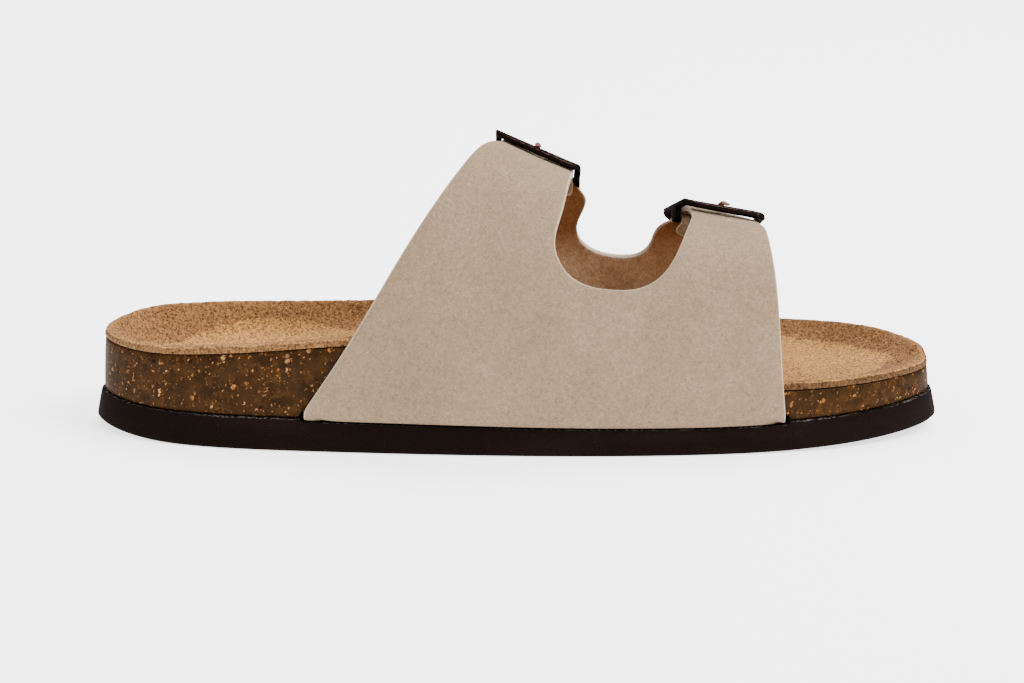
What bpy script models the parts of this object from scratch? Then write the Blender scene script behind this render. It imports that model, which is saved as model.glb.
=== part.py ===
"""Two-strap cork footbed sandal, left shoe.

Metres, +X towards the toe, +Y towards the outer side of the foot, +Z up. The origin is on the
flat of the sole's underside, midway along its length and on the axis of the heel.

The upper is cut as flat patterns and bent over a last. A place on the last is given by
x, the girth s from the last's crest line (minus towards the inner side) and the lift above
the last's surface. Buckles are laid out flat on their strap and bent the same way.
"""

import math
from collections import namedtuple

import bmesh
import bpy
import numpy as np
from mathutils import Vector
from mathutils.geometry import delaunay_2d_cdt

# Sole and footbed
SOLE_LENGTH = 0.2652  # along the outsole's top edge
BALL_WIDTH = 0.0985  # across the outsole's top edge at its widest
HEEL_THICKNESS = 0.0101  # of the outsole
TOE_THICKNESS = 0.0090
OUTSOLE_FLARE = 0.0016  # the outsole's foot stands out this far past its top edge
FOOT_ROUNDING = 0.0010  # of the outsole's lower edge
TOE_SPRING = 0.0033
HEEL_BEVEL = 0.0020
LEDGE = 0.0009  # of the outsole's top that shows round the cork
CORK_DRAFT = 0.0006  # the cork's side leans in by this much
FOOTBED_DEPTH = 0.0224  # cork and cover over the outsole, at the heel's rim
COVER_THICKNESS = 0.0019
RIM_LIP = 0.0030  # rounded lip of the footbed's edge, seen from above
LIP_DROP = 0.0009  # of the lip's outer edge
CUP_WALL = 0.0105  # slope between the lip and the floor, seen from above
PAD_HEIGHT = 0.0030  # mound behind the ball of the foot
PAD_SIZE = (0.034, 0.022)  # half its length and width
ARCH_HEIGHT = 0.0042
ARCH_SIZE = (0.062, 0.030)
TOE_GRIP_HEIGHT = 0.0014
TOE_GRIP_SIZE = (0.012, 0.040)
FIT_GAP = 0.0003  # between pieces that touch

# Upper
WALL = 0.0022  # leather and lining
INSTEP_HEIGHT = 0.0880  # crest of the last over the ground at the rear strap
LASTING_MARGIN = 0.0080  # of the upper that is turned in under the cork
TURN_RADIUS = 0.0018  # of the upper round the cork's lower edge
SHEET_STEP = 0.0070  # between points of a leather sheet
STEP_WALL = 0.0008  # length over which the seat for the upper starts and ends
LAYER_GAP = 0.0005  # between strap layers, which are faceted in different ways

# Straps and buckles
STRAP_WIDTH = 0.0224  # where it passes its buckle
REAR_PIN_GIRTH = 0.0240  # from the last's crest to the middle of the rear buckle's pin bar
FRONT_PIN_GIRTH = 0.0275
LOOP_LEATHER = 0.0009  # the outer strap is pared to this where it loops round the pin bar
FLAP_LENGTH = 0.0130  # of the loop's end under its strap
BLEND_START = 0.0035  # past the pin bar, where the outer strap starts to come down
BLEND_LENGTH = 0.0300  # past the pin bar, over which the straps come down to the last
REAR_RISE = 0.0130  # before the rear pin bar, over which the inner strap rises to it
FRONT_RISE = 0.0190
SIDE_RUN = 0.0048  # of the outer strap past the pin bar, before it widens
TAIL_LENGTH = 0.0360  # of the inner strap past the pin bar
TAIL_ROUNDING = 0.0095
HOLE_PITCH = 0.0080
HOLE_RADIUS = 0.0016
SLOT_WIDTH = 0.0026  # cut in the loop for the prong
FRAME_LENGTH = 0.0345  # along the strap
FRAME_SIDE_GAP = 0.0004  # between the strap's edge and the frame's side bar
SIDE_BAR = 0.0020
END_BAR = 0.0044
BAR_THICKNESS = 0.0022
BAR_CHAMFER = 0.0005
FRAME_CORNER = 0.0050
WINDOW_CORNER = 0.0015
PIN_RADIUS = 0.00075
LUG_HALF_LENGTH = 0.0028  # of the side bar's lug that holds the pin bar
PRONG_RADIUS = 0.00075

STEPS = 40  # stations from heel to toe, before those at the upper's ends

OutlinePoint = namedtuple("OutlinePoint", "along across")
# The outsole's top edge from the heel round the inner side to the toe and back. Shares of
# SOLE_LENGTH from the heel and of BALL_WIDTH, minus on the inner side.
SOLE_OUTLINE = [
    OutlinePoint(0.000, 0.000),
    OutlinePoint(0.035, -0.180),
    OutlinePoint(0.120, -0.305),
    OutlinePoint(0.260, -0.372),
    OutlinePoint(0.430, -0.415),
    OutlinePoint(0.600, -0.430),
    OutlinePoint(0.740, -0.408),
    OutlinePoint(0.860, -0.350),
    OutlinePoint(0.955, -0.225),
    OutlinePoint(1.000, -0.060),
    OutlinePoint(0.965, 0.185),
    OutlinePoint(0.870, 0.405),
    OutlinePoint(0.740, 0.530),
    OutlinePoint(0.610, 0.558),
    OutlinePoint(0.450, 0.500),
    OutlinePoint(0.290, 0.405),
    OutlinePoint(0.130, 0.335),
    OutlinePoint(0.035, 0.200),
]

BedRow = namedtuple("BedRow", "along inner_rim outer_rim floor")
# Heights of the footbed over the outsole's top. Shares of SOLE_LENGTH and FOOTBED_DEPTH.
FOOTBED = [
    BedRow(0.00, 0.89, 0.89, 0.56),
    BedRow(0.05, 0.90, 1.00, 0.52),
    BedRow(0.11, 0.95, 1.00, 0.50),
    BedRow(0.20, 1.05, 0.96, 0.50),
    BedRow(0.30, 1.17, 0.93, 0.56),
    BedRow(0.42, 1.20, 0.90, 0.62),
    BedRow(0.52, 1.04, 0.84, 0.62),
    BedRow(0.63, 0.80, 0.74, 0.50),
    BedRow(0.76, 0.61, 0.64, 0.38),
    BedRow(0.88, 0.53, 0.65, 0.35),
    BedRow(0.95, 0.50, 0.65, 0.35),
    BedRow(1.00, 0.46, 0.56, 0.36),
]

LastRow = namedtuple("LastRow", "along crest offset inner_power outer_power")
# Crest height as a share of INSTEP_HEIGHT, its offset from the heel's axis as a share of
# BALL_WIDTH, and the powers of the section's curve on both sides: 2 is an ellipse, and less
# falls away sooner.
LAST = [
    LastRow(0.20, 1.42, 0.02, 2.0, 2.0),
    LastRow(0.34, 1.22, 0.02, 2.0, 2.0),
    LastRow(0.47, 1.02, 0.02, 2.0, 1.95),
    LastRow(0.57, 0.885, 0.01, 2.1, 1.85),
    LastRow(0.70, 0.752, -0.03, 2.05, 1.65),
    LastRow(0.80, 0.702, -0.03, 2.15, 1.65),
    LastRow(0.88, 0.645, -0.03, 2.3, 1.70),
]

PatternPoint = namedtuple("PatternPoint", "along girth")
# Edges of the upper's two halves. Shares of SOLE_LENGTH, and of the girth from the crest
# (0) to where the upper turns in under the cork (1).
INNER_REAR_EDGE = [
    PatternPoint(0.251, 1.00),
    PatternPoint(0.300, 0.829),
    PatternPoint(0.342, 0.652),
    PatternPoint(0.376, 0.502),
    PatternPoint(0.413, 0.338),
    PatternPoint(0.447, 0.165),
    PatternPoint(0.463, 0.065),
]
INNER_CUTOUT = [
    PatternPoint(0.562, 0.13),
    PatternPoint(0.550, 0.33),
    PatternPoint(0.545, 0.44),
    PatternPoint(0.561, 0.513),
    PatternPoint(0.604, 0.529),
    PatternPoint(0.650, 0.491),
    PatternPoint(0.678, 0.395),
    PatternPoint(0.698, 0.21),
]
INNER_FRONT_EDGE = [
    PatternPoint(0.801, 0.14),
    PatternPoint(0.807, 0.41),
    PatternPoint(0.811, 0.70),
    PatternPoint(0.817, 1.00),
]
OUTER_REAR_EDGE = [
    PatternPoint(0.300, 1.00),
    PatternPoint(0.345, 0.78),
    PatternPoint(0.408, 0.58),
    PatternPoint(0.450, 0.45),
]
OUTER_CUTOUT = [
    PatternPoint(0.587, 0.37),
    PatternPoint(0.583, 0.47),
    PatternPoint(0.574, 0.56),
    PatternPoint(0.584, 0.634),
    PatternPoint(0.614, 0.660),
    PatternPoint(0.650, 0.648),
    PatternPoint(0.667, 0.570),
    PatternPoint(0.673, 0.45),
]
OUTER_FRONT_EDGE = [
    PatternPoint(0.783, 0.62),
    PatternPoint(0.796, 0.80),
    PatternPoint(0.800, 1.00),
]

Strap = namedtuple("Strap", "name along pin_girth slant rise first_hole last_hole")
# The middle of each strap at its buckle's pin bar: share of SOLE_LENGTH, distance from the
# crest line, degrees by which the strap leans to the heel as it goes outwards, the length of
# its rise to the bar, and the punched holes to each side of the one in use.
STRAPS = [
    Strap("rear", 0.5275, REAR_PIN_GIRTH, 0.0, REAR_RISE, -2, 2),
    Strap("front", 0.742, FRONT_PIN_GIRTH, 12.0, FRONT_RISE, -3, 2),
]


# Curves


def closed_spline(points, count):
    """Smooth closed curve through the points, as count points even in chord length."""
    points = np.array(points, float)
    size = len(points)
    steps = np.linalg.norm(np.roll(points, -1, axis=0) - points, axis=1)
    before = np.roll(steps, 1)
    system = np.zeros((size, size))
    for i in range(size):
        system[i, i - 1] += 1 / before[i]
        system[i, i] += 2 / before[i] + 2 / steps[i]
        system[i, (i + 1) % size] += 1 / steps[i]
    rise = (np.roll(points, -1, axis=0) - points) / steps[:, None] ** 2
    slopes = np.linalg.solve(system, 3 * (rise + np.roll(rise, 1, axis=0)))
    knots = np.concatenate([[0], np.cumsum(steps)])
    at = np.linspace(0, knots[-1], count, endpoint=False)
    span = np.clip(np.searchsorted(knots, at, side="right") - 1, 0, size - 1)
    ends = (points[span], points[(span + 1) % size])
    leads = (slopes[span], slopes[(span + 1) % size])
    return hermite((at - knots[span])[:, None], steps[span][:, None], ends, leads)


def hermite(at, width, ends, leads):
    t = at / width
    return (
        (2 * t**3 - 3 * t**2 + 1) * ends[0]
        + (t**3 - 2 * t**2 + t) * width * leads[0]
        + (-2 * t**3 + 3 * t**2) * ends[1]
        + (t**3 - t**2) * width * leads[1]
    )


def open_spline(knots, values, at):
    """Smooth curve through values at the knots, read at the places given. It runs on
    straight past its ends."""
    knots, values = np.array(knots, float), np.array(values, float)
    steps = np.diff(knots)
    size = len(knots)
    system = np.zeros((size, size))
    right = np.zeros(size)
    for i in range(1, size - 1):
        system[i, i - 1] = 1 / steps[i - 1]
        system[i, i] = 2 / steps[i - 1] + 2 / steps[i]
        system[i, i + 1] = 1 / steps[i]
        behind = (values[i] - values[i - 1]) / steps[i - 1] ** 2
        ahead = (values[i + 1] - values[i]) / steps[i] ** 2
        right[i] = 3 * (behind + ahead)
    for end, inner, step in ((0, 1, steps[0]), (size - 1, size - 2, steps[-1])):
        system[end, end] = 2
        system[end, inner] = 1
        right[end] = 3 * (values[inner] - values[end]) * (inner - end) / step
    slopes = np.linalg.solve(system, right)
    at = np.asarray(at, float)
    inside = np.clip(at, knots[0], knots[-1])
    span = np.clip(np.searchsorted(knots, inside, side="right") - 1, 0, size - 2)
    ends = (values[span], values[span + 1])
    leads = (slopes[span], slopes[span + 1])
    curve = hermite(inside - knots[span], steps[span], ends, leads)
    past = at - inside
    return curve + past * np.where(past < 0, slopes[0], slopes[-1])


def smooth_line(points, step):
    """Points about step apart on a smooth curve through the given ones."""
    points = np.array(points, float)
    lengths = np.linalg.norm(np.diff(points, axis=0), axis=1)
    knots = np.concatenate([[0], np.cumsum(lengths)])
    at = np.linspace(0, knots[-1], max(2, round(knots[-1] / step) + 1))
    columns = [open_spline(knots, points[:, i], at) for i in range(2)]
    return np.stack(columns, 1)


def eased(t):
    """0 to 1 with level ends."""
    t = np.clip(t, 0, 1)
    return t * t * (3 - 2 * t)


# Sole


def along_share(x):
    return np.asarray(x, float) / SOLE_LENGTH + 0.5


def from_share(share):
    return (share - 0.5) * SOLE_LENGTH


def outline_dense():
    """The outsole's top edge as many points, and the outward direction at each."""
    rows = [(from_share(row.along), row.across * BALL_WIDTH) for row in SOLE_OUTLINE]
    points = closed_spline(rows, 2400)
    ahead = np.roll(points, -1, axis=0) - np.roll(points, 1, axis=0)
    ahead /= np.linalg.norm(ahead, axis=1)[:, None]
    return points, np.stack([ahead[:, 1], -ahead[:, 0]], 1)


DENSE_EDGE, DENSE_OUT = outline_dense()


def side_curve(inset, outer_side):
    """One side of the outline drawn in by inset, from heel to toe."""
    points = DENSE_EDGE - DENSE_OUT * inset
    count = len(points)
    heel, toe = points[:, 0].argmin(), points[:, 0].argmax()
    if outer_side:
        return points[np.arange(toe, heel + count + (0 if heel > toe else 1))[::-1] % count]
    return points[np.arange(heel - (count if heel > toe else 0), toe + 1) % count]


def edge_y(x, inset, outer_side):
    """y of the outline drawn in by inset, at x, on one side."""
    side = side_curve(inset, outer_side)
    return np.interp(x, side[:, 0], side[:, 1])


HEEL_ZONE = 0.20 * SOLE_LENGTH  # in which stations follow an inset at the heel
TOE_ZONE = 0.15 * SOLE_LENGTH


def upper_range(outer_side):
    """x of the rear and front end of the upper's lower edge on one side."""
    rear = OUTER_REAR_EDGE[0] if outer_side else INNER_REAR_EDGE[0]
    front = OUTER_FRONT_EDGE[-1] if outer_side else INNER_FRONT_EDGE[-1]
    return from_share(rear.along), from_share(front.along)


def stations():
    """x of the steps from heel to toe on the outsole's top edge: closer together at both
    ends, with a pair where each seat for the upper starts and ends."""
    turn = np.linspace(0, math.pi, STEPS + 1)
    low, high = DENSE_EDGE[:, 0].min(), DENSE_EDGE[:, 0].max()
    steps = low + (high - low) * (1 - np.cos(turn)) / 2
    pairs = []
    for outer_side in (False, True):
        rear, front = upper_range(outer_side)
        pairs += [rear - 2 * STEP_WALL, rear - STEP_WALL]
        pairs += [front + STEP_WALL, front + 2 * STEP_WALL]
    far = np.abs(steps[:, None] - np.array(pairs)[None, :]).min(axis=1)
    return np.sort(np.concatenate([steps[far > 2 * STEP_WALL], pairs]))


STATIONS = stations()
LAST_STATION = len(STATIONS) - 1
RING_COUNT = 2 * LAST_STATION
# For each point of a ring, whether it is on the outer side.
RING_SIDE = np.array([i > LAST_STATION for i in range(RING_COUNT)])


def outline_ring(inset):
    """The outline drawn in by inset, as points at the stations of the inner side from heel
    to toe and of the outer side back."""
    inner, outer = side_curve(inset, False), side_curve(inset, True)
    heel, toe = STATIONS[0], STATIONS[-1]
    from_heel, from_toe = STATIONS - heel, toe - STATIONS
    low, high = inner[0, 0], inner[-1, 0]
    x = STATIONS.copy()
    near_heel = from_heel < HEEL_ZONE
    near_toe = from_toe < TOE_ZONE
    x[near_heel] += (low - heel) * (1 - from_heel[near_heel] / HEEL_ZONE)
    x[near_toe] += (high - toe) * (1 - from_toe[near_toe] / TOE_ZONE)
    there = np.stack([x, np.interp(x, inner[:, 0], inner[:, 1])], 1)
    back = np.stack([x, np.interp(x, outer[:, 0], outer[:, 1])], 1)
    return np.concatenate([there, back[1:-1][::-1]])


def end_curves(x):
    """0 on the flat of the sole, rising to 1 at the heel's end and at the toe's."""
    share = along_share(x)
    heel = np.clip((0.11 - share) / 0.11, 0, 1) ** 2
    toe = np.clip((share - 0.72) / 0.28, 0, 1) ** 2
    return heel, toe


def underside(x):
    """Height of the outsole's underside: level, with a bevelled heel and a sprung toe."""
    heel, toe = end_curves(x)
    return HEEL_BEVEL * heel + TOE_SPRING * toe


def outsole_top(x):
    """Height of the outsole's top, which thins towards the toe and follows the spring."""
    heel, toe = end_curves(x)
    thinning = eased((along_share(x) - 0.25) / 0.45)
    thickness = HEEL_THICKNESS + (TOE_THICKNESS - HEEL_THICKNESS) * thinning
    return thickness + 0.95 * TOE_SPRING * toe + 0.6 * HEEL_BEVEL * heel


def seat(ring):
    """1 where a ring's point is on the seat for the upper's turned-in edge, else 0."""
    flags = np.zeros(len(ring))
    for outer_side in (False, True):
        rear, front = upper_range(outer_side)
        under = (ring[:, 0] > rear - 1.5 * STEP_WALL) & (ring[:, 0] < front + 1.5 * STEP_WALL)
        flags[under & (RING_SIDE == outer_side)] = 1
    return flags


def rim_height(x, outer_side):
    """Height of the footbed's rim over the ground."""
    share = along_share(x)
    knots = [row.along for row in FOOTBED]
    inner = open_spline(knots, [row.inner_rim for row in FOOTBED], share)
    outer = open_spline(knots, [row.outer_rim for row in FOOTBED], share)
    return outsole_top(x) + FOOTBED_DEPTH * np.where(outer_side, outer, inner)


def mound(x, y, along, across, size):
    """A soft rise, 1 at a place given as shares of the sole and 0 past size."""
    far_x = (x - from_share(along)) / size[0]
    far_y = (y - across * BALL_WIDTH) / size[1]
    return eased(1 - np.hypot(far_x, far_y))


def footbed_height(x, y, from_edge, outer_side):
    """Height of the footbed's surface: lip, cup wall, floor, and the floor's mounds."""
    knots = [row.along for row in FOOTBED]
    floor_share = open_spline(knots, [row.floor for row in FOOTBED], along_share(x))
    floor = outsole_top(x) + FOOTBED_DEPTH * floor_share
    floor = floor + PAD_HEIGHT * mound(x, y, 0.585, 0.02, PAD_SIZE)
    floor = floor + ARCH_HEIGHT * mound(x, y, 0.42, -0.36, ARCH_SIZE)
    floor = floor + TOE_GRIP_HEIGHT * mound(x, y, 0.83, 0.04, TOE_GRIP_SIZE)
    rim = rim_height(x, outer_side)
    slope = np.clip((from_edge - RIM_LIP) / CUP_WALL, 0, 1)
    down = 1 - (1 - slope) ** 1.7 * (1 - 0.15 * slope)
    lip = LIP_DROP * np.clip(1 - from_edge / RIM_LIP, 0, 1) ** 2
    return rim - lip + (floor - rim) * down


# Rings of the footbed's surface: inset from its edge, as shares of RIM_LIP and CUP_WALL,
# then shares of the way on to the middle line.
BED_INSETS = [
    RIM_LIP * lip + CUP_WALL * wall
    for lip, wall in [(0, 0), (0.4, 0), (1, 0), (1, 0.25), (1, 0.55), (1, 0.9)]
]
BED_SHARES = [0.35, 0.7, 1.0]


def middle_line(ring):
    """For each point of a ring, the point of the footbed's middle line that it runs to."""
    partner = np.roll(ring[::-1], 1, axis=0)
    middle = ((ring + partner) / 2)[: LAST_STATION + 1]
    low, high = middle[0, 0], middle[-1, 0]
    x = np.clip(ring[:, 0], low + (high - low) * 0.10, high - (high - low) * 0.12)
    return np.stack([x, np.interp(x, middle[:, 0], middle[:, 1])], 1)


def footbed_rings(edge_inset, drop):
    """Rings of points over the footbed from its edge to its middle line, drop below the
    finished surface."""
    rings = []
    for inset in BED_INSETS:
        ring = outline_ring(edge_inset + inset)
        height = footbed_height(ring[:, 0], ring[:, 1], inset, RING_SIDE)
        rings.append(np.column_stack([ring, height - drop]))
    wall_foot = outline_ring(edge_inset + BED_INSETS[-1])
    middle = middle_line(wall_foot)
    for share in BED_SHARES:
        ring = wall_foot + (middle - wall_foot) * share
        height = footbed_height(ring[:, 0], ring[:, 1], RIM_LIP + CUP_WALL, RING_SIDE)
        rings.append(np.column_stack([ring, height - drop]))
    return rings


# Meshes


def make_object(name, points, faces, colour, roughness, metallic):
    """An object from points and triangles that close up when their seams are joined."""
    material = bpy.data.materials.new(name)
    material.use_nodes = True
    shader = material.node_tree.nodes["Principled BSDF"]
    shader.inputs["Base Color"].default_value = (*colour, 1)
    shader.inputs["Roughness"].default_value = roughness
    shader.inputs["Metallic"].default_value = metallic
    mesh = bpy.data.meshes.new(name)
    mesh.from_pydata([tuple(map(float, p)) for p in points], [], faces)
    tidy = bmesh.new()
    tidy.from_mesh(mesh)
    bmesh.ops.remove_doubles(tidy, verts=tidy.verts, dist=1e-6)
    bmesh.ops.recalc_face_normals(tidy, faces=tidy.faces)
    tidy.to_mesh(mesh)
    tidy.free()
    mesh.materials.append(material)
    mesh.shade_smooth()
    mesh.set_sharp_from_angle(angle=math.radians(35))
    made = bpy.data.objects.new(name, mesh)
    bpy.context.scene.collection.objects.link(made)
    return made


def band(first, second, count, inwards=True):
    """Triangles between two rings, given by their first point's number. Facets that lean
    the same way lie level with those of a neighbour whose rings run inwards."""
    faces = []
    for i in range(count):
        j = (i + 1) % count
        if inwards:
            faces += [(first + i, first + j, second + j), (first + i, second + j, second + i)]
        else:
            faces += [(first + i, first + j, second + i), (first + j, second + j, second + i)]
    return faces


def cap(first):
    """Triangles that close an outline ring with strips across it."""
    faces = []
    for i in range(LAST_STATION):
        near, far = first + i, first + i + 1
        near_mate = first + (RING_COUNT - i) % RING_COUNT
        far_mate = first + RING_COUNT - i - 1
        if near_mate != near:
            faces.append((near, far, near_mate))
        if far_mate != far:
            faces.append((far, far_mate, near_mate))
    return faces


def ring_at(inset, height):
    """An outline ring at a height worked out from its points."""
    ring = outline_ring(inset)
    return np.column_stack([ring, height(ring)])


def rings_object(name, rings, closed_first, closed_last, look, outwards=0):
    """A solid from rings one after another, of which the first few may run outwards,
    capped at each end that needs it."""
    faces = []
    for i in range(len(rings) - 1):
        faces += band(i * RING_COUNT, (i + 1) * RING_COUNT, RING_COUNT, i >= outwards)
    if closed_first:
        faces += cap(0)
    if closed_last:
        faces += cap((len(rings) - 1) * RING_COUNT)
    return make_object(name, np.concatenate(rings), faces, *look)


# The upper's inner face lies this far over the outsole's top where it is turned in.
TURNED_IN = WALL / 2 + FIT_GAP / 2
MARGIN_END = LEDGE - FIT_GAP + TURN_RADIUS + LASTING_MARGIN


def build_outsole():
    """Outsole with a flared side, and a hollow in its top for the upper's turned edge."""
    reach = TURN_RADIUS + WALL + 1.33 * FIT_GAP
    centre_inset = LEDGE - FIT_GAP + TURN_RADIUS
    centre_height = TURNED_IN + TURN_RADIUS
    # The hollow starts on the outsole's top, or on its edge where the upper stands out past it.
    inner_start = math.acos(min(1, (centre_inset - FIT_GAP) / reach))
    start = max(math.asin(centre_height / reach), inner_start)
    edge_start = math.acos(min(1, centre_inset / reach))
    edge_drop = max(0, reach * math.sin(edge_start) - centre_height)
    rings = [
        ring_at(FOOT_ROUNDING - OUTSOLE_FLARE, lambda ring: underside(ring[:, 0])),
        ring_at(-OUTSOLE_FLARE, lambda ring: underside(ring[:, 0]) + FOOT_ROUNDING),
        ring_at(0, lambda ring: outsole_top(ring[:, 0]) - edge_drop * seat(ring)),
    ]
    for share in (0, 0.45, 1):
        angle = start + (math.pi / 2 - start) * share
        inset = centre_inset - reach * math.cos(angle)
        drop = reach * math.sin(angle) - centre_height

        def height(ring, drop=drop):
            return outsole_top(ring[:, 0]) - drop * seat(ring)

        rings.append(ring_at(inset, height))
    floor = reach - centre_height
    end = MARGIN_END + 2 * FIT_GAP
    rings.append(ring_at(end, lambda ring: outsole_top(ring[:, 0]) - floor * seat(ring)))
    rings.append(ring_at(end + FIT_GAP, lambda ring: outsole_top(ring[:, 0])))
    look = ((0.016, 0.010, 0.009), 0.6, 0.0)
    return rings_object("outsole", rings, True, True, look)


def build_cork():
    """Cork footbed, hollowed underneath for the upper's turned edge."""
    end = MARGIN_END + 2 * FIT_GAP
    rise = TURNED_IN + FIT_GAP
    chamfer = 0.8 * TURN_RADIUS

    def base(ring):
        return outsole_top(ring[:, 0]) + FIT_GAP

    def seated(ring):
        return base(ring) + (rise - FIT_GAP) * seat(ring)

    rings = [
        ring_at(end + FIT_GAP, base),
        ring_at(end, seated),
        ring_at(LEDGE + chamfer, seated),
        ring_at(LEDGE, lambda ring: seated(ring) + chamfer * (0.15 + 0.85 * seat(ring))),
    ]
    rings += footbed_rings(LEDGE + CORK_DRAFT, COVER_THICKNESS + FIT_GAP)
    look = ((0.10, 0.045, 0.018), 0.45, 0.0)
    return rings_object("cork_footbed", rings, True, False, look)


def build_cover():
    """Suede cover of the footbed, flush with the cork's side."""
    under = footbed_rings(LEDGE + CORK_DRAFT, COVER_THICKNESS)
    over = footbed_rings(LEDGE + CORK_DRAFT, 0)
    look = ((0.50, 0.29, 0.14), 0.95, 0.0)
    rings = under[::-1] + over
    return rings_object("footbed_cover", rings, False, False, look, len(under))


# Last

ARCH_STEPS = 48
WALL_STEPS = 4
BEND_STEPS = 6
RIM_INDEX = ARCH_STEPS
WALL_END_INDEX = ARCH_STEPS + WALL_STEPS
BEND_INDICES = [WALL_END_INDEX + i for i in range(2, BEND_STEPS + 1, 2)]


def last_section(x, outer_side):
    """One half of the last's section at each x, from the crest over the rim down to the
    cork's lower edge and in under the cork: y and z of its points, and their girth."""
    x = np.atleast_1d(np.asarray(x, float))
    sign = 1.0 if outer_side else -1.0
    share = along_share(x)
    knots = [row.along for row in LAST]
    crest = open_spline(knots, [row.crest for row in LAST], share) * INSTEP_HEIGHT
    middle = open_spline(knots, [row.offset for row in LAST], share) * BALL_WIDTH
    powers = [row.outer_power if outer_side else row.inner_power for row in LAST]
    power = open_spline(knots, powers, share)[:, None]
    rim_y = edge_y(x, LEDGE + CORK_DRAFT, outer_side) + sign * FIT_GAP
    rim_z = rim_height(x, outer_side)
    foot_y = edge_y(x, LEDGE, outer_side) + sign * FIT_GAP
    foot_z = outsole_top(x) + TURNED_IN
    turn = np.linspace(math.pi / 2, 0, ARCH_STEPS + 1)[None, :]
    arch_y = middle[:, None] + (rim_y - middle)[:, None] * np.cos(turn) ** (2 / power)
    arch_z = rim_z[:, None] + (crest - rim_z)[:, None] * np.sin(turn) ** (2 / power)
    down = np.linspace(0, 1, WALL_STEPS + 1)[None, 1:]
    wall_y = rim_y[:, None] + (foot_y - rim_y)[:, None] * down
    wall_z = rim_z[:, None] + (foot_z + TURN_RADIUS - rim_z)[:, None] * down
    bend = np.linspace(0, math.pi / 2, BEND_STEPS + 1)[None, 1:]
    bend_y = (foot_y - sign * TURN_RADIUS)[:, None] + sign * TURN_RADIUS * np.cos(bend)
    bend_z = (foot_z + TURN_RADIUS)[:, None] - TURN_RADIUS * np.sin(bend)
    under_y = (foot_y - sign * (TURN_RADIUS + 2 * LASTING_MARGIN))[:, None]
    y = np.concatenate([arch_y, wall_y, bend_y, under_y], 1)
    z = np.concatenate([arch_z, wall_z, bend_z, foot_z[:, None]], 1)
    step = np.hypot(np.diff(y, axis=1), np.diff(z, axis=1))
    girth = np.concatenate([np.zeros((len(x), 1)), np.cumsum(step, axis=1)], 1)
    return y, z, girth


def girth_to(index, x, outer_side):
    """Girth from the crest to one of the section's points."""
    return last_section(x, outer_side)[2][:, index]


def on_last(x, s, lift):
    """Points at x and girth s from the crest, lifted off the last's surface."""
    x = np.atleast_1d(np.asarray(x, float))
    s = np.atleast_1d(np.asarray(s, float))
    lift = np.broadcast_to(lift, x.shape)
    points = np.zeros((len(x), 3))
    for outer_side in (False, True):
        here = np.where((s >= 0) == outer_side)[0]
        if len(here) == 0:
            continue
        sign = 1.0 if outer_side else -1.0
        y, z, girth = last_section(x[here], outer_side)
        distance = np.abs(s[here])
        span = np.array([np.searchsorted(row, d) for row, d in zip(girth, distance)])
        span = np.clip(span - 1, 0, girth.shape[1] - 2)
        rows = np.arange(len(here))
        width = girth[rows, span + 1] - girth[rows, span]
        t = ((distance - girth[rows, span]) / width)[:, None]
        ends = np.stack([y, z], 2)
        place = ends[rows, span] * (1 - t) + ends[rows, span + 1] * t
        chord = ends[:, 1:] - ends[:, :-1]
        chord /= np.linalg.norm(chord, axis=2)[:, :, None]
        tangent = np.concatenate(
            [chord[:, :1], chord[:, :-1] + chord[:, 1:], chord[:, -1:]], 1
        )
        tangent[:, 0] = (sign, 0)
        tangent /= np.linalg.norm(tangent, axis=2)[:, :, None]
        tangent = tangent[rows, span] * (1 - t) + tangent[rows, span + 1] * t
        tangent /= np.linalg.norm(tangent, axis=1)[:, None]
        points[here, 0] = x[here]
        points[here, 1] = place[:, 0] - sign * tangent[:, 1] * lift[here]
        points[here, 2] = place[:, 1] + sign * tangent[:, 0] * lift[here]
    return points


# Straps


PIN_HEIGHT = LOOP_LEATHER + FIT_GAP + PIN_RADIUS  # of the pin bar's axis over the last
LOOP_INNER = PIN_RADIUS + FIT_GAP
LOOP_OUTER = LOOP_INNER + LOOP_LEATHER
FOLD_LENGTH = math.pi * (LOOP_INNER + LOOP_OUTER) / 2


def strap_axes(strap):
    """The pin bar's middle in the pattern, and the strap's lengthwise and crosswise ways."""
    lean = math.radians(strap.slant)
    middle = np.array([from_share(strap.along), strap.pin_girth])
    length = np.array([-math.sin(lean), math.cos(lean)])
    width = np.array([math.cos(lean), math.sin(lean)])
    return middle, length, width


def strap_point(strap, t, w):
    """Pattern point at t along the strap from its pin bar and w across it."""
    middle, length, width = strap_axes(strap)
    return middle + length * t + width * w


def nearest_strap(points):
    """For pattern points, t along and w across the strap that each is nearest to, and the
    length of that strap's rise."""
    t, rise = np.zeros(len(points)), np.zeros(len(points))
    w = np.full(len(points), np.inf)
    for strap in STRAPS:
        middle, length, width = strap_axes(strap)
        across = (points - middle) @ width
        closer = np.abs(across) < np.abs(w)
        w[closer] = across[closer]
        t[closer] = ((points - middle) @ length)[closer]
        rise[closer] = strap.rise
    return t, w, rise


def outer_lift(t, face):
    """Lift of the outer strap's faces, t past the pin bar: 0 is the inner face."""
    down = eased((t - BLEND_START) / BLEND_LENGTH)
    high = PIN_HEIGHT + (LOOP_OUTER if face else LOOP_INNER)
    return high * (1 - down) + (WALL if face else 0) * down


def inner_lift(t, rise):
    """Lift of the inner strap's underside, over the outer strap and its loop."""
    top = PIN_HEIGHT + LOOP_OUTER + LAYER_GAP
    rising = top * eased((t + BLEND_START + rise) / rise)
    return np.where(t < 0, rising, outer_lift(t, 1) + LAYER_GAP)


def place_inner(points, face):
    """The inner half of the upper, bent over the last and over the outer straps."""
    t, _, rise = nearest_strap(points)
    return on_last(points[:, 0], points[:, 1], inner_lift(t, rise) + WALL * face)


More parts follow.
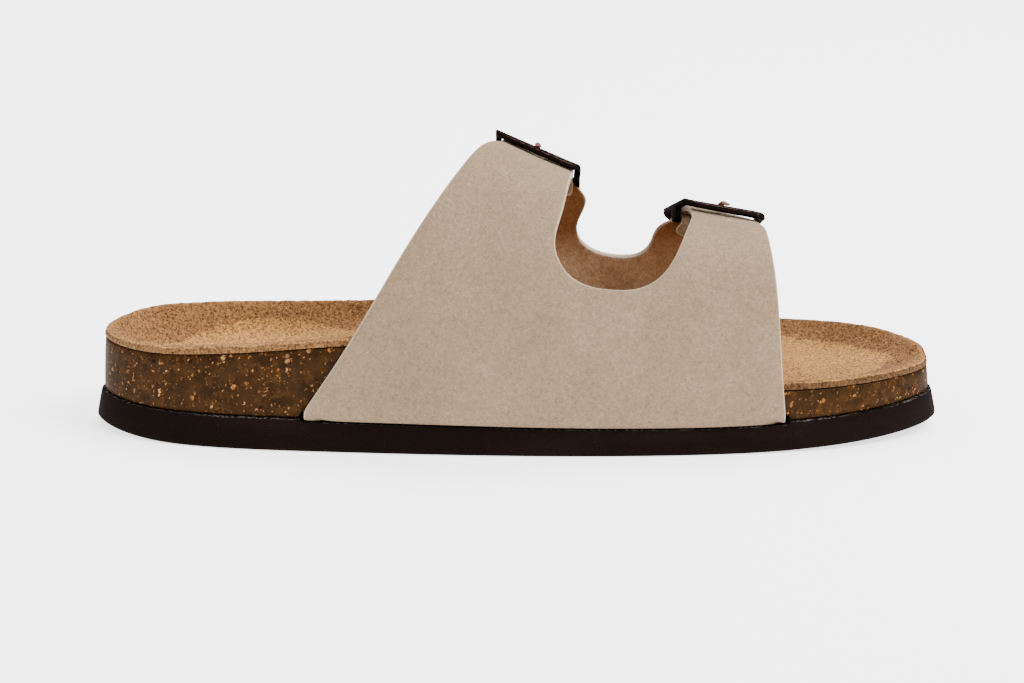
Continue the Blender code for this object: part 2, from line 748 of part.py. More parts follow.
def place_outer(points, face):
    """The outer half of the upper. Past a pin bar its strap folds round the bar and lies
    back under itself."""
    t, w, _ = nearest_strap(points)
    past = -t
    angle = np.clip(past / FOLD_LENGTH, 0, 1) * math.pi
    radius = LOOP_OUTER if face else LOOP_INNER
    folded = t < 0
    lift = np.where(folded, PIN_HEIGHT + radius * np.cos(angle), outer_lift(t, face))
    beyond = np.clip(past - FOLD_LENGTH, 0, None)
    local_t = np.where(folded, beyond - radius * np.sin(angle), t)
    x, s = points[:, 0].copy(), points[:, 1].copy()
    for strap in STRAPS:
        middle, _, width = strap_axes(strap)
        mine = folded & (np.abs((points - middle) @ width - w) < 1e-9)
        for i in np.where(mine)[0]:
            x[i], s[i] = strap_point(strap, local_t[i], w[i])
    return on_last(x, s, lift)


# Upper


def inside(points, loop):
    """Which points lie inside a closed loop."""
    found = np.zeros(len(points), bool)
    after = np.roll(loop, -1, axis=0)
    for a, b in zip(loop, after):
        crosses = (a[1] > points[:, 1]) != (b[1] > points[:, 1])
        rise = np.where(b[1] == a[1], 1, b[1] - a[1])
        at = a[0] + (points[:, 1] - a[1]) * (b[0] - a[0]) / rise
        found ^= crosses & (points[:, 0] < at)
    return found


def distance_to(points, loop):
    """Distance from each point to a closed loop."""
    best = np.full(len(points), np.inf)
    after = np.roll(loop, -1, axis=0)
    for a, b in zip(loop, after):
        run = b - a
        t = np.clip(((points - a) @ run) / (run @ run), 0, 1)
        best = np.minimum(best, np.linalg.norm(points - a - t[:, None] * run, axis=1))
    return best


def clear_of_edges(points, loops, margins):
    """Which points lie inside the first loop, outside the others and clear of them all."""
    keep = inside(points, loops[0]) & (distance_to(points, loops[0]) > margins[0])
    for hole in loops[1:]:
        keep &= ~inside(points, hole) & (distance_to(points, hole) > margins[1])
    return keep


def sheet_triangles(outline, holes, rows, step):
    """Points and triangles of a flat sheet: a grid inside the outline, and rows of points
    whose lines stay edges, clear of the sheet's own edges."""
    low, high = outline.min(axis=0), outline.max(axis=0)
    grid = []
    for row, s in enumerate(np.arange(low[1], high[1], step * 0.9)):
        shift = step / 2 * (row % 2)
        grid += [(x, s) for x in np.arange(low[0] + shift, high[0], step)]
    grid = np.array(grid)
    row_points = np.concatenate(rows)
    apart = np.linalg.norm(grid[:, None] - row_points[None], axis=2).min(axis=1)
    loops = [outline, *holes]
    keep = clear_of_edges(grid, loops, (step * 0.55, step * 0.2)) & (apart > step * 0.55)
    points = [tuple(p) for loop in loops for p in loop] + [tuple(p) for p in grid[keep]]
    edges = []
    first = 0
    for loop in loops:
        size = len(loop)
        edges += [(first + i, first + (i + 1) % size) for i in range(size)]
        first += size
    for row in rows:
        keep = clear_of_edges(row, loops, (step * 0.12, step * 0.1))
        for i in np.where(keep)[0]:
            if i > 0 and keep[i - 1]:
                edges.append((len(points) - 1, len(points)))
            points.append(tuple(row[i]))
    points = [Vector(p) for p in points]
    found = delaunay_2d_cdt(points, edges, [], 0, 1e-7)
    flat = np.array([tuple(p) for p in found[0]])
    triangles = np.array([tuple(face) for face in found[2]])
    centres = flat[triangles].mean(axis=1)
    keep = inside(centres, outline)
    for hole in holes:
        keep &= ~inside(centres, hole)
    return flat, triangles[keep]


def leather_sheet(name, outline, holes, rows, place, look):
    """A leather sheet of full thickness: the flat pattern's two faces, bent into place and
    joined by their cut edges."""
    flat, triangles = sheet_triangles(outline, holes, rows, SHEET_STEP)
    under, over = place(flat, 0), place(flat, 1)
    count = len(flat)
    faces = [tuple(int(i) for i in triangle[::-1]) for triangle in triangles]
    faces += [tuple(int(i) + count for i in triangle) for triangle in triangles]
    ends = np.concatenate([triangles[:, [0, 1]], triangles[:, [1, 2]], triangles[:, [2, 0]]])
    known = {(int(a), int(b)) for a, b in ends}
    for a, b in sorted(known):
        if (b, a) not in known:
            faces.append((a, b, b + count))
            faces.append((a, b + count, a + count))
    return make_object(name, np.concatenate([under, over]), faces, *look)


def pattern_points(rows, outer_side):
    """Pattern points of a table of edge points."""
    sign = 1 if outer_side else -1
    x = np.array([from_share(row.along) for row in rows])
    to_turn = girth_to(WALL_END_INDEX, x, outer_side)
    share = np.array([row.girth for row in rows])
    return [np.array(p) for p in zip(x, sign * share * to_turn)]


def lower_steps(outer_side):
    rear, front = upper_range(outer_side)
    return np.linspace(front, rear, round((front - rear) / SHEET_STEP) + 1)


def lower_edge(outer_side):
    """The turned-in edge, from the front of the upper to its rear, with both corners."""
    sign = 1 if outer_side else -1
    x = lower_steps(outer_side)
    turns = [girth_to(i, x, outer_side) for i in BEND_INDICES]
    front = [(x[0], sign * girth[0]) for girth in turns]
    rear = [(x[-1], sign * girth[-1]) for girth in turns[::-1]]
    inward = np.stack([x, sign * (turns[-1] + LASTING_MARGIN)], 1)
    return np.concatenate([front, inward, rear])


def fold_rows(outer_side):
    """Rows of points along the rim and round the cork's lower edge."""
    sign = 1 if outer_side else -1
    x = lower_steps(outer_side)
    indices = [RIM_INDEX, WALL_END_INDEX, *BEND_INDICES]
    return [np.stack([x, sign * girth_to(i, x, outer_side)], 1) for i in indices]


def round_hole(strap, t, radius, sides=8):
    turn = [2 * math.pi * (i + 0.5) / sides for i in range(sides)]
    points = [strap_point(strap, t + radius * math.cos(a), radius * math.sin(a)) for a in turn]
    return np.array(points)


def prong_rise():
    """How far past the pin bar's axis the prong stands up."""
    return PIN_RADIUS + FIT_GAP + PRONG_RADIUS


def build_upper_inner():
    """Inner half: one panel with a cut-out and two straps that run over the buckles' pin
    bars, with round tips and punched holes."""
    half = STRAP_WIDTH / 2
    start = FRAME_LENGTH / 2 - END_BAR
    tip = TAIL_LENGTH - TAIL_ROUNDING
    runs = [pattern_points(INNER_REAR_EDGE, False)]
    holes = []
    between = [INNER_CUTOUT, INNER_FRONT_EDGE]
    parts = []
    for strap, table in zip(STRAPS, between):
        rear_side = [strap_point(strap, t, -half) for t in (-start, 0, tip * 0.5, tip)]
        front_side = [strap_point(strap, t, half) for t in (tip, tip * 0.5, 0, -start)]
        turn = [math.pi * i / 8 for i in range(1, 8)]
        tail = [
            strap_point(strap, tip + TAIL_ROUNDING * math.sin(a), -half * math.cos(a))
            for a in turn
        ]
        parts.append(smooth_line(runs[-1] + rear_side, SHEET_STEP))
        parts.append(np.array(tail))
        runs.append(front_side + pattern_points(table, False))
        for number in range(strap.first_hole, strap.last_hole + 1):
            holes.append(round_hole(strap, prong_rise() + number * HOLE_PITCH, HOLE_RADIUS))
    parts.append(smooth_line(runs[-1], SHEET_STEP))
    parts.append(lower_edge(False))
    outline = np.concatenate(parts)
    look = ((0.52, 0.42, 0.31), 0.85, 0.0)
    return leather_sheet(
        "upper_inner", outline, holes, fold_rows(False), place_inner, look
    )


def build_upper_outer():
    """Outer half: one panel with a cut-out and two short straps that loop round the
    buckles' pin bars."""
    half = STRAP_WIDTH / 2
    end = -FOLD_LENGTH - FLAP_LENGTH
    slot_end = prong_rise() + PRONG_RADIUS + 2 * FIT_GAP
    runs = [pattern_points(OUTER_REAR_EDGE, True)]
    holes, parts = [], []
    rows = fold_rows(True)
    for strap, table in zip(STRAPS, [OUTER_CUTOUT, OUTER_FRONT_EDGE]):
        rear_side = [strap_point(strap, t, -half) for t in (SIDE_RUN, 0)]
        front_side = [strap_point(strap, t, half) for t in (0, SIDE_RUN)]
        fold = [-FOLD_LENGTH * i / 6 for i in range(1, 7)] + [end]
        parts.append(smooth_line(runs[-1] + rear_side, SHEET_STEP))
        parts.append(np.array([strap_point(strap, t, -half) for t in fold]))
        parts.append(np.array([strap_point(strap, t, half) for t in fold[::-1]]))
        runs.append(front_side + pattern_points(table, True))
        slot_along = [slot_end] + [-FOLD_LENGTH * i / 6 for i in range(7)]
        slot_along += [-FOLD_LENGTH - slot_end]
        slot = [strap_point(strap, t, -SLOT_WIDTH / 2) for t in slot_along]
        slot += [strap_point(strap, t, SLOT_WIDTH / 2) for t in slot_along[::-1]]
        holes.append(np.array(slot))
        for t in [0, *fold[:-1]]:
            for side in (-1, 1):
                row = [strap_point(strap, t, side * half * w) for w in (0.35, 0.68)]
                rows.append(np.array(row))
    parts.append(smooth_line(runs[-1], SHEET_STEP))
    parts.append(lower_edge(True))
    outline = np.concatenate(parts)
    look = ((0.52, 0.42, 0.31), 0.85, 0.0)
    return leather_sheet("upper_outer", outline, holes, rows, place_outer, look)


# Buckles


def bent(strap, flat_points):
    """Points laid out flat on a strap as t, w and lift, bent over the last."""
    pattern = np.array([strap_point(strap, t, w) for t, w, _ in flat_points])
    return on_last(pattern[:, 0], pattern[:, 1], np.array(flat_points)[:, 2])


def rounded_rectangle(half_length, half_width, radius, corner_steps=4):
    """Points round a rectangle with round corners."""
    points = []
    for sign_t, sign_w, start in ((1, 1, 0), (-1, 1, 1), (-1, -1, 2), (1, -1, 3)):
        centre_t = sign_t * (half_length - radius)
        centre_w = sign_w * (half_width - radius)
        for i in range(corner_steps + 1):
            angle = (start + i / corner_steps) * math.pi / 2
            points.append(
                (centre_t + radius * math.cos(angle), centre_w + radius * math.sin(angle))
            )
    return points


def frame_underside(strap, t):
    """Lift of the frame's underside: it lies on the inner strap at both end bars."""
    window = FRAME_LENGTH / 2 - END_BAR
    near = float(inner_lift(np.array(-window), strap.rise)) + WALL + FIT_GAP
    far = float(inner_lift(np.array(window), strap.rise)) + WALL + FIT_GAP
    return near + (far - near) * (t + window) / (2 * window)


def flat_solid(name, points, faces):
    mesh = bpy.data.meshes.new(name)
    mesh.from_pydata(points, [], faces)
    tidy = bmesh.new()
    tidy.from_mesh(mesh)
    bmesh.ops.recalc_face_normals(tidy, faces=tidy.faces)
    tidy.to_mesh(mesh)
    tidy.free()
    made = bpy.data.objects.new(name, mesh)
    bpy.context.scene.collection.objects.link(made)
    return made


def frame_ring(strap):
    """The frame's four bars, laid flat."""
    half_length = FRAME_LENGTH / 2
    half_width = STRAP_WIDTH / 2 + FRAME_SIDE_GAP + SIDE_BAR
    cut = BAR_CHAMFER
    loops = []
    for inset, low in ((cut, True), (0, True), (0, False), (cut, False)):
        outline = rounded_rectangle(half_length - inset, half_width - inset, FRAME_CORNER - inset)
        step = 0 if inset else cut
        loops.append((outline, low, step))
    for inset, low in ((cut, False), (0, False), (0, True), (cut, True)):
        outline = rounded_rectangle(
            half_length - END_BAR + inset, half_width - SIDE_BAR + inset, WINDOW_CORNER + inset
        )
        step = 0 if inset else cut
        loops.append((outline, low, step))
    points, faces = [], []
    for outline, low, step in loops:
        for t, w in outline:
            lift = frame_underside(strap, t) + (step if low else BAR_THICKNESS - step)
            points.append((t, w, lift))
    size = len(loops[0][0])
    for i in range(len(loops)):
        faces += band(i * size, (i + 1) % len(loops) * size, size)
    return flat_solid("frame ring", points, faces)


def frame_lug(strap, side):
    """A tab from a side bar down to the pin bar."""
    near = STRAP_WIDTH / 2 + FRAME_SIDE_GAP + 0.05 * SIDE_BAR
    far = near + 0.9 * SIDE_BAR
    top = frame_underside(strap, 0) + BAR_THICKNESS / 2
    foot = PIN_HEIGHT - 1.5 * PIN_RADIUS
    profile = [(1, top), (1, foot + PIN_RADIUS), (0.55, foot)]
    profile += [(-t, lift) for t, lift in profile[::-1]]
    points = []
    for across in (near, far):
        points += [(t * LUG_HALF_LENGTH, side * across, lift) for t, lift in profile]
    size = len(profile)
    faces = [tuple(range(size)), tuple(range(2 * size - 1, size - 1, -1))]
    for i in range(size):
        j = (i + 1) % size
        faces.append((i, j, j + size, i + size))
    return flat_solid("frame lug", points, faces)


def pin_bar():
    """The bar that the outer strap loops round, laid flat."""
    reach = STRAP_WIDTH / 2 + FRAME_SIDE_GAP + 0.5 * SIDE_BAR
    places = np.linspace(-reach, reach, 7)
    sides = 8
    points, faces = [], []
    for w in places:
        for i in range(sides):
            angle = 2 * math.pi * (i + 0.5) / sides
            lift = PIN_HEIGHT + PIN_RADIUS * math.sin(angle)
            points.append((PIN_RADIUS * math.cos(angle), w, lift))
    for i in range(len(places) - 1):
        faces += band(i * sides, (i + 1) * sides, sides)
    faces.append(tuple(range(sides)))
    faces.append(tuple(range(len(points) - 1, len(points) - sides - 1, -1)))
    return flat_solid("pin bar", points, faces)


def joined_points(body, others):
    """The union of a solid with others, as points and triangles, and removes them all."""
    for other in others:
        union = body.modifiers.new("Union", "BOOLEAN")
        union.operation = "UNION"
        union.solver = "EXACT"
        union.object = other
    graph = bpy.context.evaluated_depsgraph_get()
    mesh = bpy.data.meshes.new_from_object(body.evaluated_get(graph))
    merged = bmesh.new()
    merged.from_mesh(mesh)
    bmesh.ops.triangulate(merged, faces=merged.faces)
    points = [tuple(vertex.co) for vertex in merged.verts]
    faces = [tuple(vertex.index for vertex in face.verts) for face in merged.faces]
    merged.free()
    for used in [body, *others]:
        bpy.data.objects.remove(used, do_unlink=True)
    return points, faces


def build_frame(strap):
    """Buckle frame: four bars, two lugs and the pin bar, in one piece."""
    others = [frame_lug(strap, -1), frame_lug(strap, 1), pin_bar()]
    points, faces = joined_points(frame_ring(strap), others)
    look = ((0.03, 0.022, 0.02), 0.35, 1.0)
    return make_object("buckle_frame_" + strap.name, bent(strap, points), faces, *look)


def prong_route(strap):
    """Middle line of the prong as t and lift: a hook under and round the pin bar, up
    through the inner strap's hole, and over it to rest on the end bar."""
    hook = prong_rise()
    route = []
    for degrees in (-160, -125, -90, -55, -20):
        angle = math.radians(degrees)
        route.append((hook * math.cos(angle), PIN_HEIGHT + hook * math.sin(angle)))
    strap_top = float(inner_lift(np.array(0.0), strap.rise)) + WALL
    clear = FIT_GAP + PRONG_RADIUS
    rest = -(FRAME_LENGTH - END_BAR) / 2
    bar_top = frame_underside(strap, rest) + BAR_THICKNESS
    over = strap_top + clear
    route += [(hook, PIN_HEIGHT + hook), (hook, strap_top - WALL / 2)]
    route += [(hook * 0.8, over - 0.2 * hook), (hook * 0.2, over + 0.1 * hook)]
    resting = bar_top + clear
    route += [(-2 * hook, over + 0.1 * hook)]
    route += [(rest + END_BAR / 2, resting + 0.15 * hook), (rest - END_BAR * 0.3, resting)]
    return route


def build_prong(strap):
    """Bent wire with a flat tip."""
    route = np.array(prong_route(strap))
    ahead = np.gradient(route, axis=0)
    ahead /= np.linalg.norm(ahead, axis=1)[:, None]
    sides = 8
    points, faces = [], []
    for (t, lift), (run, rise) in zip(route, ahead):
        for i in range(sides):
            angle = 2 * math.pi * (i + 0.5) / sides
            out = PRONG_RADIUS * math.cos(angle)
            across = PRONG_RADIUS * math.sin(angle)
            points.append((t - rise * out, across, lift + run * out))
    for i in range(len(route) - 1):
        faces += band(i * sides, (i + 1) * sides, sides)
    for i in range(1, sides - 1):
        faces.append((0, i + 1, i))
        last = len(points) - sides
        faces.append((last, last + i, last + i + 1))
    look = ((0.05, 0.03, 0.028), 0.3, 1.0)
    return make_object("buckle_prong_" + strap.name, bent(strap, points), faces, *look)


def main():
    for old in list(bpy.data.objects):
        bpy.data.objects.remove(old, do_unlink=True)
    build_outsole()
    build_cork()
    build_cover()
    build_upper_inner()
    build_upper_outer()
    for strap in STRAPS:
        build_frame(strap)
        build_prong(strap)


main()
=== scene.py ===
"""Finish and fine shapes of a two-strap cork footbed sandal, left shoe.

Metres, +X towards the toe, +Y towards the outer side of the foot, +Z up.
"""

import math

import bmesh
import bpy
from bpy.props import FloatProperty, FloatVectorProperty, PointerProperty
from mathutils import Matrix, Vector, noise
from mathutils.bvhtree import BVHTree


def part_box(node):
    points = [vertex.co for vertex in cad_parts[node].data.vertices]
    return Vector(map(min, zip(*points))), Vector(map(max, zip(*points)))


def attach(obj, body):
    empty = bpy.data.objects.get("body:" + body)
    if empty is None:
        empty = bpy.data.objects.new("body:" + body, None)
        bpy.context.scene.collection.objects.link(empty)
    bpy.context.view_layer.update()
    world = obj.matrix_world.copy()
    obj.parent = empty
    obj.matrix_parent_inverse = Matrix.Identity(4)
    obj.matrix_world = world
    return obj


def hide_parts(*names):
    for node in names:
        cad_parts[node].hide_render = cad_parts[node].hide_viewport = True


bl_info = {
    "name": "Cork Footbed Sandal",
    "version": (1, 0, 0),
    "blender": (4, 5, 0),
    "location": "3D View > Sidebar > Sandal",
    "description": "Makes the sandal's leather, suede, cork, foam and buckles",
    "category": "Object",
}

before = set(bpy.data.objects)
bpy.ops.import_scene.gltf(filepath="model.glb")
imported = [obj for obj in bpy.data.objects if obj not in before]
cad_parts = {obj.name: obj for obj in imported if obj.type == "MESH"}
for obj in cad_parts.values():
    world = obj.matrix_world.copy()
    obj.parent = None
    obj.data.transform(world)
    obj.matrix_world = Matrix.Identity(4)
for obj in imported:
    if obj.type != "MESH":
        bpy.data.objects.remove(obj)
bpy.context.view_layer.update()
SOLE_LOW, SOLE_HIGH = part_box("outsole")
SOLE_LENGTH = SOLE_HIGH.x - SOLE_LOW.x


# Settings


def colour_setting(name, description, default):
    """A colour that the panel shows."""
    return FloatVectorProperty(
        name=name,
        description=description,
        subtype="COLOR",
        size=3,
        min=0.0,
        max=1.0,
        default=default,
    )


def length_setting(name, description, default):
    """A length that the panel shows."""
    return FloatProperty(
        name=name,
        description=description,
        unit="LENGTH",
        subtype="DISTANCE",
        min=0.0,
        precision=5,
        default=default,
    )


class UpperSettings(bpy.types.PropertyGroup):
    """Leather of the upper."""

    nubuck: colour_setting("Nubuck", "Colour of the grain side", (0.205, 0.143, 0.089))
    nubuck_shade: colour_setting("Nubuck shade", "Its darker clouds", (0.168, 0.114, 0.068))
    lining: colour_setting("Lining", "Colour of the foot side", (0.195, 0.092, 0.037))
    # painted light: the paler colour of the lining low down, away from the straps' shade
    lining_lit: colour_setting("Lit lining", "Its paler low part", (0.430, 0.280, 0.170))
    cut_edge: colour_setting("Cut edge", "Colour of the raw edge", (0.40, 0.32, 0.235))
    edge_rounding: length_setting("Edge rounding", "Rounding of the cut edges", 0.00034)
    nap_depth: length_setting("Nap", "Depth of the grain's nap", 0.00030)
    lining_depth: length_setting("Lining nap", "Depth of the lining's nap", 0.00050)


class FootbedSettings(bpy.types.PropertyGroup):
    """Suede and cork of the footbed."""

    suede: colour_setting("Suede", "Colour of the level suede", (0.330, 0.158, 0.046))
    # painted shade: the darker colour of the suede on its sloping walls
    suede_shade: colour_setting("Suede shade", "Suede on the slopes", (0.195, 0.090, 0.032))
    suede_edge: colour_setting("Suede edge", "Cut side of the suede", (0.150, 0.072, 0.027))
    cork: colour_setting("Cork", "Colour of the cork", (0.034, 0.0143, 0.0040))
    cork_deep: colour_setting("Dark cork", "Dark grains of the cork", (0.012, 0.0056, 0.0018))
    fleck: colour_setting("Flecks", "Orange flecks in the cork", (0.22, 0.070, 0.016))
    pale_fleck: colour_setting("Pale flecks", "Cream flecks", (0.36, 0.19, 0.075))
    pit: colour_setting("Pits", "Black pits in the cork", (0.003, 0.002, 0.002))
    nap_depth: length_setting("Nap", "Height of the suede's nap", 0.00066)
    lump_height: length_setting("Lumps", "Unevenness of the suede", 0.00024)
    edge_rounding: length_setting("Edge rounding", "Rounding of the suede's rim", 0.00040)
    cork_rounding: length_setting("Cork rounding", "Rounding of the cork's edges", 0.00024)


class OutsoleSettings(bpy.types.PropertyGroup):
    """Foam outsole and its tread."""

    foam: colour_setting("Foam", "Colour of the foam", (0.0044, 0.0023, 0.0018))
    # glue and painted highlight: the pale colour of the broken line on the foam's upward faces
    glue_and_highlight: colour_setting("Glue and highlight", "Colour of the glue line", (0.10, 0.09, 0.08))
    dust: colour_setting("Dust", "Colour of the dust on it", (0.05, 0.035, 0.03))
    edge_rounding: length_setting("Edge rounding", "Rounding of the edges", 0.00030)
    border: length_setting("Border", "Smooth border round the tread", 0.0060)
    tread_depth: length_setting("Tread depth", "Depth of the grooves", 0.0012)
    lug_pitch: length_setting("Lug pitch", "Distance between grooves", 0.0095)
    groove: length_setting("Groove", "Half the width of a groove", 0.00080)


class BuckleSettings(bpy.types.PropertyGroup):
    """Antique metal of the buckles."""

    metal: colour_setting("Metal", "Dark antique colour", (0.007, 0.0045, 0.0040))
    # worn plating and painted highlight: the copper colour of the rubbed, lit top edges
    rubbed_and_highlight: colour_setting("Rubbed and highlit metal", "Edges rubbed bright", (0.23, 0.115, 0.090))
    edge_rounding: length_setting("Edge rounding", "Rounding of the bars", 0.00022)


class StageSettings(bpy.types.PropertyGroup):
    """Floor, light and camera."""

    floor: colour_setting("Floor", "Colour of the floor", (0.92, 0.92, 0.92))
    glow: FloatProperty(name="Glow", description="Light that the floor gives", min=0.0, default=2.0)
    sky: FloatProperty(name="Sky", description="Light from all round", min=0.0, default=1.2)
    camera_distance: length_setting("Distance", "From the camera to its aim", 1.300)
    camera_rise: FloatProperty(
        name="Elevation",
        description="Angle of the camera over the ground",
        subtype="ANGLE",
        default=math.radians(14.3),
    )
    lens: FloatProperty(
        name="Lens",
        description="Focal length on a sensor 36 mm wide",
        unit="CAMERA",
        default=143.05,
    )


# Shaders


# Inputs of a mix node by number, because its inputs for numbers and colours share their
# names, and the output that holds the colour.
FACTOR, NUMBER_A, NUMBER_B, COLOUR_A, COLOUR_B = 0, 2, 3, 6, 7
MIXED_COLOUR = 2


class Signal:
    """A socket of a material's nodes. Sums with it add their own nodes."""

    def __init__(self, tree, socket=None):
        self.tree = tree
        self.socket = socket

    def node(self, kind, settings, sockets, output=0):
        """Adds a node: its settings first, then the values or links of its sockets."""
        made = self.tree.nodes.new(kind)
        for name, value in settings.items():
            setattr(made, name, value)
        for name, value in sockets.items():
            if isinstance(value, Signal):
                self.tree.links.new(value.socket, made.inputs[name])
            else:
                made.inputs[name].default_value = value
        return Signal(self.tree, made.outputs[output])

    def maths(self, operation, first, second):
        """A number worked out from two, each a number or a signal."""
        settings = {"operation": operation}
        return self.node("ShaderNodeMath", settings, {0: first, 1: second})

    def __add__(self, other):
        return self.maths("ADD", self, other)

    __radd__ = __add__

    def __sub__(self, other):
        return self.maths("SUBTRACT", self, other)

    def __rsub__(self, other):
        return self.maths("SUBTRACT", other, self)

    def __mul__(self, other):
        return self.maths("MULTIPLY", self, other)

    __rmul__ = __mul__

    def __truediv__(self, other):
        return self.maths("DIVIDE", self, other)

    def __pow__(self, other):
        return self.maths("POWER", self, other)

    def __gt__(self, other):
        return self.maths("GREATER_THAN", self, other)

    def __lt__(self, other):
        return self.maths("LESS_THAN", self, other)

    def at_most(self, limit):
        """This number, or the limit where it is more."""
        return self.maths("MINIMUM", self, limit)

    def step(self, low, high):
        """0 below low, 1 above high and soft between, or the other way round."""
        start, end = (0.0, 1.0) if low < high else (1.0, 0.0)
        sockets = {
            "Value": self,
            "From Min": min(low, high),
            "From Max": max(low, high),
            "To Min": start,
            "To Max": end,
        }
        return self.node("ShaderNodeMapRange", {"interpolation_type": "SMOOTHSTEP"}, sockets)

    def between(self, first, second):
        """A colour from first to second, with this as the share of second."""
        sockets = {FACTOR: self, COLOUR_A: opaque(first), COLOUR_B: opaque(second)}
        return self.node("ShaderNodeMix", {"data_type": "RGBA"}, sockets, MIXED_COLOUR)

    def mixed(self, first, second):
        """A number from first to second, with this as the share of second."""
        sockets = {FACTOR: self, NUMBER_A: first, NUMBER_B: second}
        return self.node("ShaderNodeMix", {"data_type": "FLOAT"}, sockets)

    def grain(self, size, detail=3.0, roughness=0.6, stretch=(1, 1, 1), shift=(0, 0, 0)):
        """Cloudy noise with features of a given size, at these coordinates."""
        place = self.node(
            "ShaderNodeMapping", {}, {"Vector": self, "Scale": stretch, "Location": shift}
        )
        sockets = {"Vector": place, "Scale": 1 / size, "Detail": detail, "Roughness": roughness}
        return self.node("ShaderNodeTexNoise", {}, sockets)

    def cells(self, size, output="Distance", feature="F1", shift=(0, 0, 0)):
        """Cells of a given size, at these coordinates."""
        place = self.node("ShaderNodeMapping", {}, {"Vector": self, "Location": shift})
        sockets = {"Vector": place, "Scale": 1 / size}
        return self.node("ShaderNodeTexVoronoi", {"feature": feature}, sockets, output)

    def times(self, factor):
        """This colour made lighter or darker by a number."""
        return self.node("ShaderNodeVectorMath", {"operation": "SCALE"}, {0: self, "Scale": factor})

    def moved(self, amount):
        """These coordinates moved by a number along every axis."""
        return self.node("ShaderNodeVectorMath", {"operation": "ADD"}, {0: self, 1: amount})

    def part(self, axis):
        """One of the three numbers, X, Y or Z, of a vector or a colour."""
        return self.node("ShaderNodeSeparateXYZ", {}, {0: self}, axis)


def opaque(colour):
    """A colour with its alpha, or a signal as it is."""
    return colour if isinstance(colour, Signal) else (*colour[:3], 1.0)


def shaded(colour, factor):
    """A fixed colour made lighter or darker."""
    return [channel * factor for channel in colour]


class Finish:
    """A material whose shader's sockets are set by name."""

    def __init__(self, name, **constants):
        self.material = bpy.data.materials.new(name)
        self.material.use_nodes = True
        self.tree = self.material.node_tree
        self.shader = self.tree.nodes["Principled BSDF"]
        self.bench = Signal(self.tree)
        self.set(**constants)

    def set(self, **values):
        """Sets or links sockets: base_color stands for Base Color."""
        for name, value in values.items():
            socket = self.shader.inputs[name.replace("_", " ").title().replace("Ior", "IOR")]
            if isinstance(value, Signal):
                self.tree.links.new(value.socket, socket)
            else:
                socket.default_value = value

    def place(self):
        """Where a point lies on the sandal, in metres."""
        return self.bench.node("ShaderNodeTexCoord", {}, {}, "Object")

    def facing(self):
        """The surface's own direction, bump left out."""
        return self.bench.node("ShaderNodeNewGeometry", {}, {}, "Normal")

    def painted(self, name):
        """A number that the mesh holds at its points."""
        return self.bench.node("ShaderNodeAttribute", {"attribute_name": name}, {}, "Fac")

    def relief(self, height, depth, strength=1.0):
        """Bump from a height of 0 to 1 over a depth."""
        sockets = {"Height": height, "Distance": depth, "Strength": strength}
        self.set(normal=self.bench.node("ShaderNodeBump", {}, sockets, "Normal"))


def raw_edge(finish, settings, surface):
    """The colour of one side of the leather, with that of its cut edge where it ends."""
    depth = finish.painted("depth")
    fray = finish.place().grain(0.0006, roughness=0.7)
    edge = fray.step(0.2, 0.8).between(shaded(settings.cut_edge, 0.72), settings.cut_edge)
    seam = depth.step(0.26, 0.31) * depth.step(0.40, 0.35)
    edge = (seam * 0.5).between(edge, settings.nubuck_shade)
    side = depth.step(0.10, 0.03) + depth.step(0.90, 0.96)
    return side.between(edge, surface)


def nubuck_finish(settings):
    """The grain side, buffed to a fine nap."""
    finish = Finish("nubuck", sheen_weight=0.03, specular_ior_level=0.15)
    place = finish.place()
    clouds = place.grain(0.026, roughness=0.55)
    mottle = place.grain(0.0032)
    nap = place.grain(0.00050, detail=2.0)
    speckle = place.grain(0.00110, roughness=0.7, shift=(3, 1, 2))
    rub = clouds.step(0.35, 0.68) * 0.6 + mottle.step(0.35, 0.7) * 0.4
    nubuck = rub.between(settings.nubuck, settings.nubuck_shade)
    nubuck = nubuck.times(0.70 + nap.step(0.32, 0.68) * 0.32 + speckle.step(0.32, 0.68) * 0.28)
    finish.set(base_color=raw_edge(finish, settings, nubuck), roughness=0.92 - nap * 0.08)
    finish.relief(nap * 0.7 + mottle * 0.3, settings.nap_depth, 0.6)
    return finish.material


LINING_LIT_BELOW, LINING_SHADED_ABOVE = 0.040, 0.054  # heights: painted light below, painted shade from the straps above


def lining_finish(settings):
    """The foot side, brushed, and painted paler low down as painted light, darker higher up as
    painted shade from the straps.
    """
    finish = Finish("lining", specular_ior_level=0.04)
    place = finish.place()
    brushed = place.grain(0.0016, detail=4.0, roughness=0.7)
    fibre = place.grain(0.00045, detail=2.0, roughness=0.7)
    patches = place.grain(0.012)
    # painted light and shade: the lining is paler low down and darker higher up, where the straps
    # shade it
    low = place.part("Z").step(LINING_SHADED_ABOVE, LINING_LIT_BELOW) * (0.6 + patches.step(0.35, 0.65) * 0.4)
    lining = low.between(settings.lining, settings.lining_lit)
    lining = lining.times(0.62 + fibre.step(0.30, 0.70) * 0.46 + brushed.step(0.3, 0.7) * 0.30)
    finish.set(base_color=raw_edge(finish, settings, lining), roughness=0.95)
    finish.relief(fibre + brushed, settings.lining_depth, 0.8)
    return finish.material


# The suede's pale floor starts some rings of points in from its edge. At the heel the rings
# are fewest at the middle of the heel's pad, and grow by the bow at the pad's reach from it,
# up to the limit.
FLOOR_RING = 6.05
HEEL_RING, HEEL_BOW, HEEL_LIMIT = 5.2, 1.6, 6.85
HEEL_PAD, HEEL_PAD_REACH = -0.082, 0.0265
HEEL_TO_ARCH = (-0.03, 0.02)  # lengths between which the heel's rings give way to the rest's
TOE_RIM, TOE_SHADE = (0.03, 0.09), (0.02, 0.08)  # lengths over which the toe's end darkens


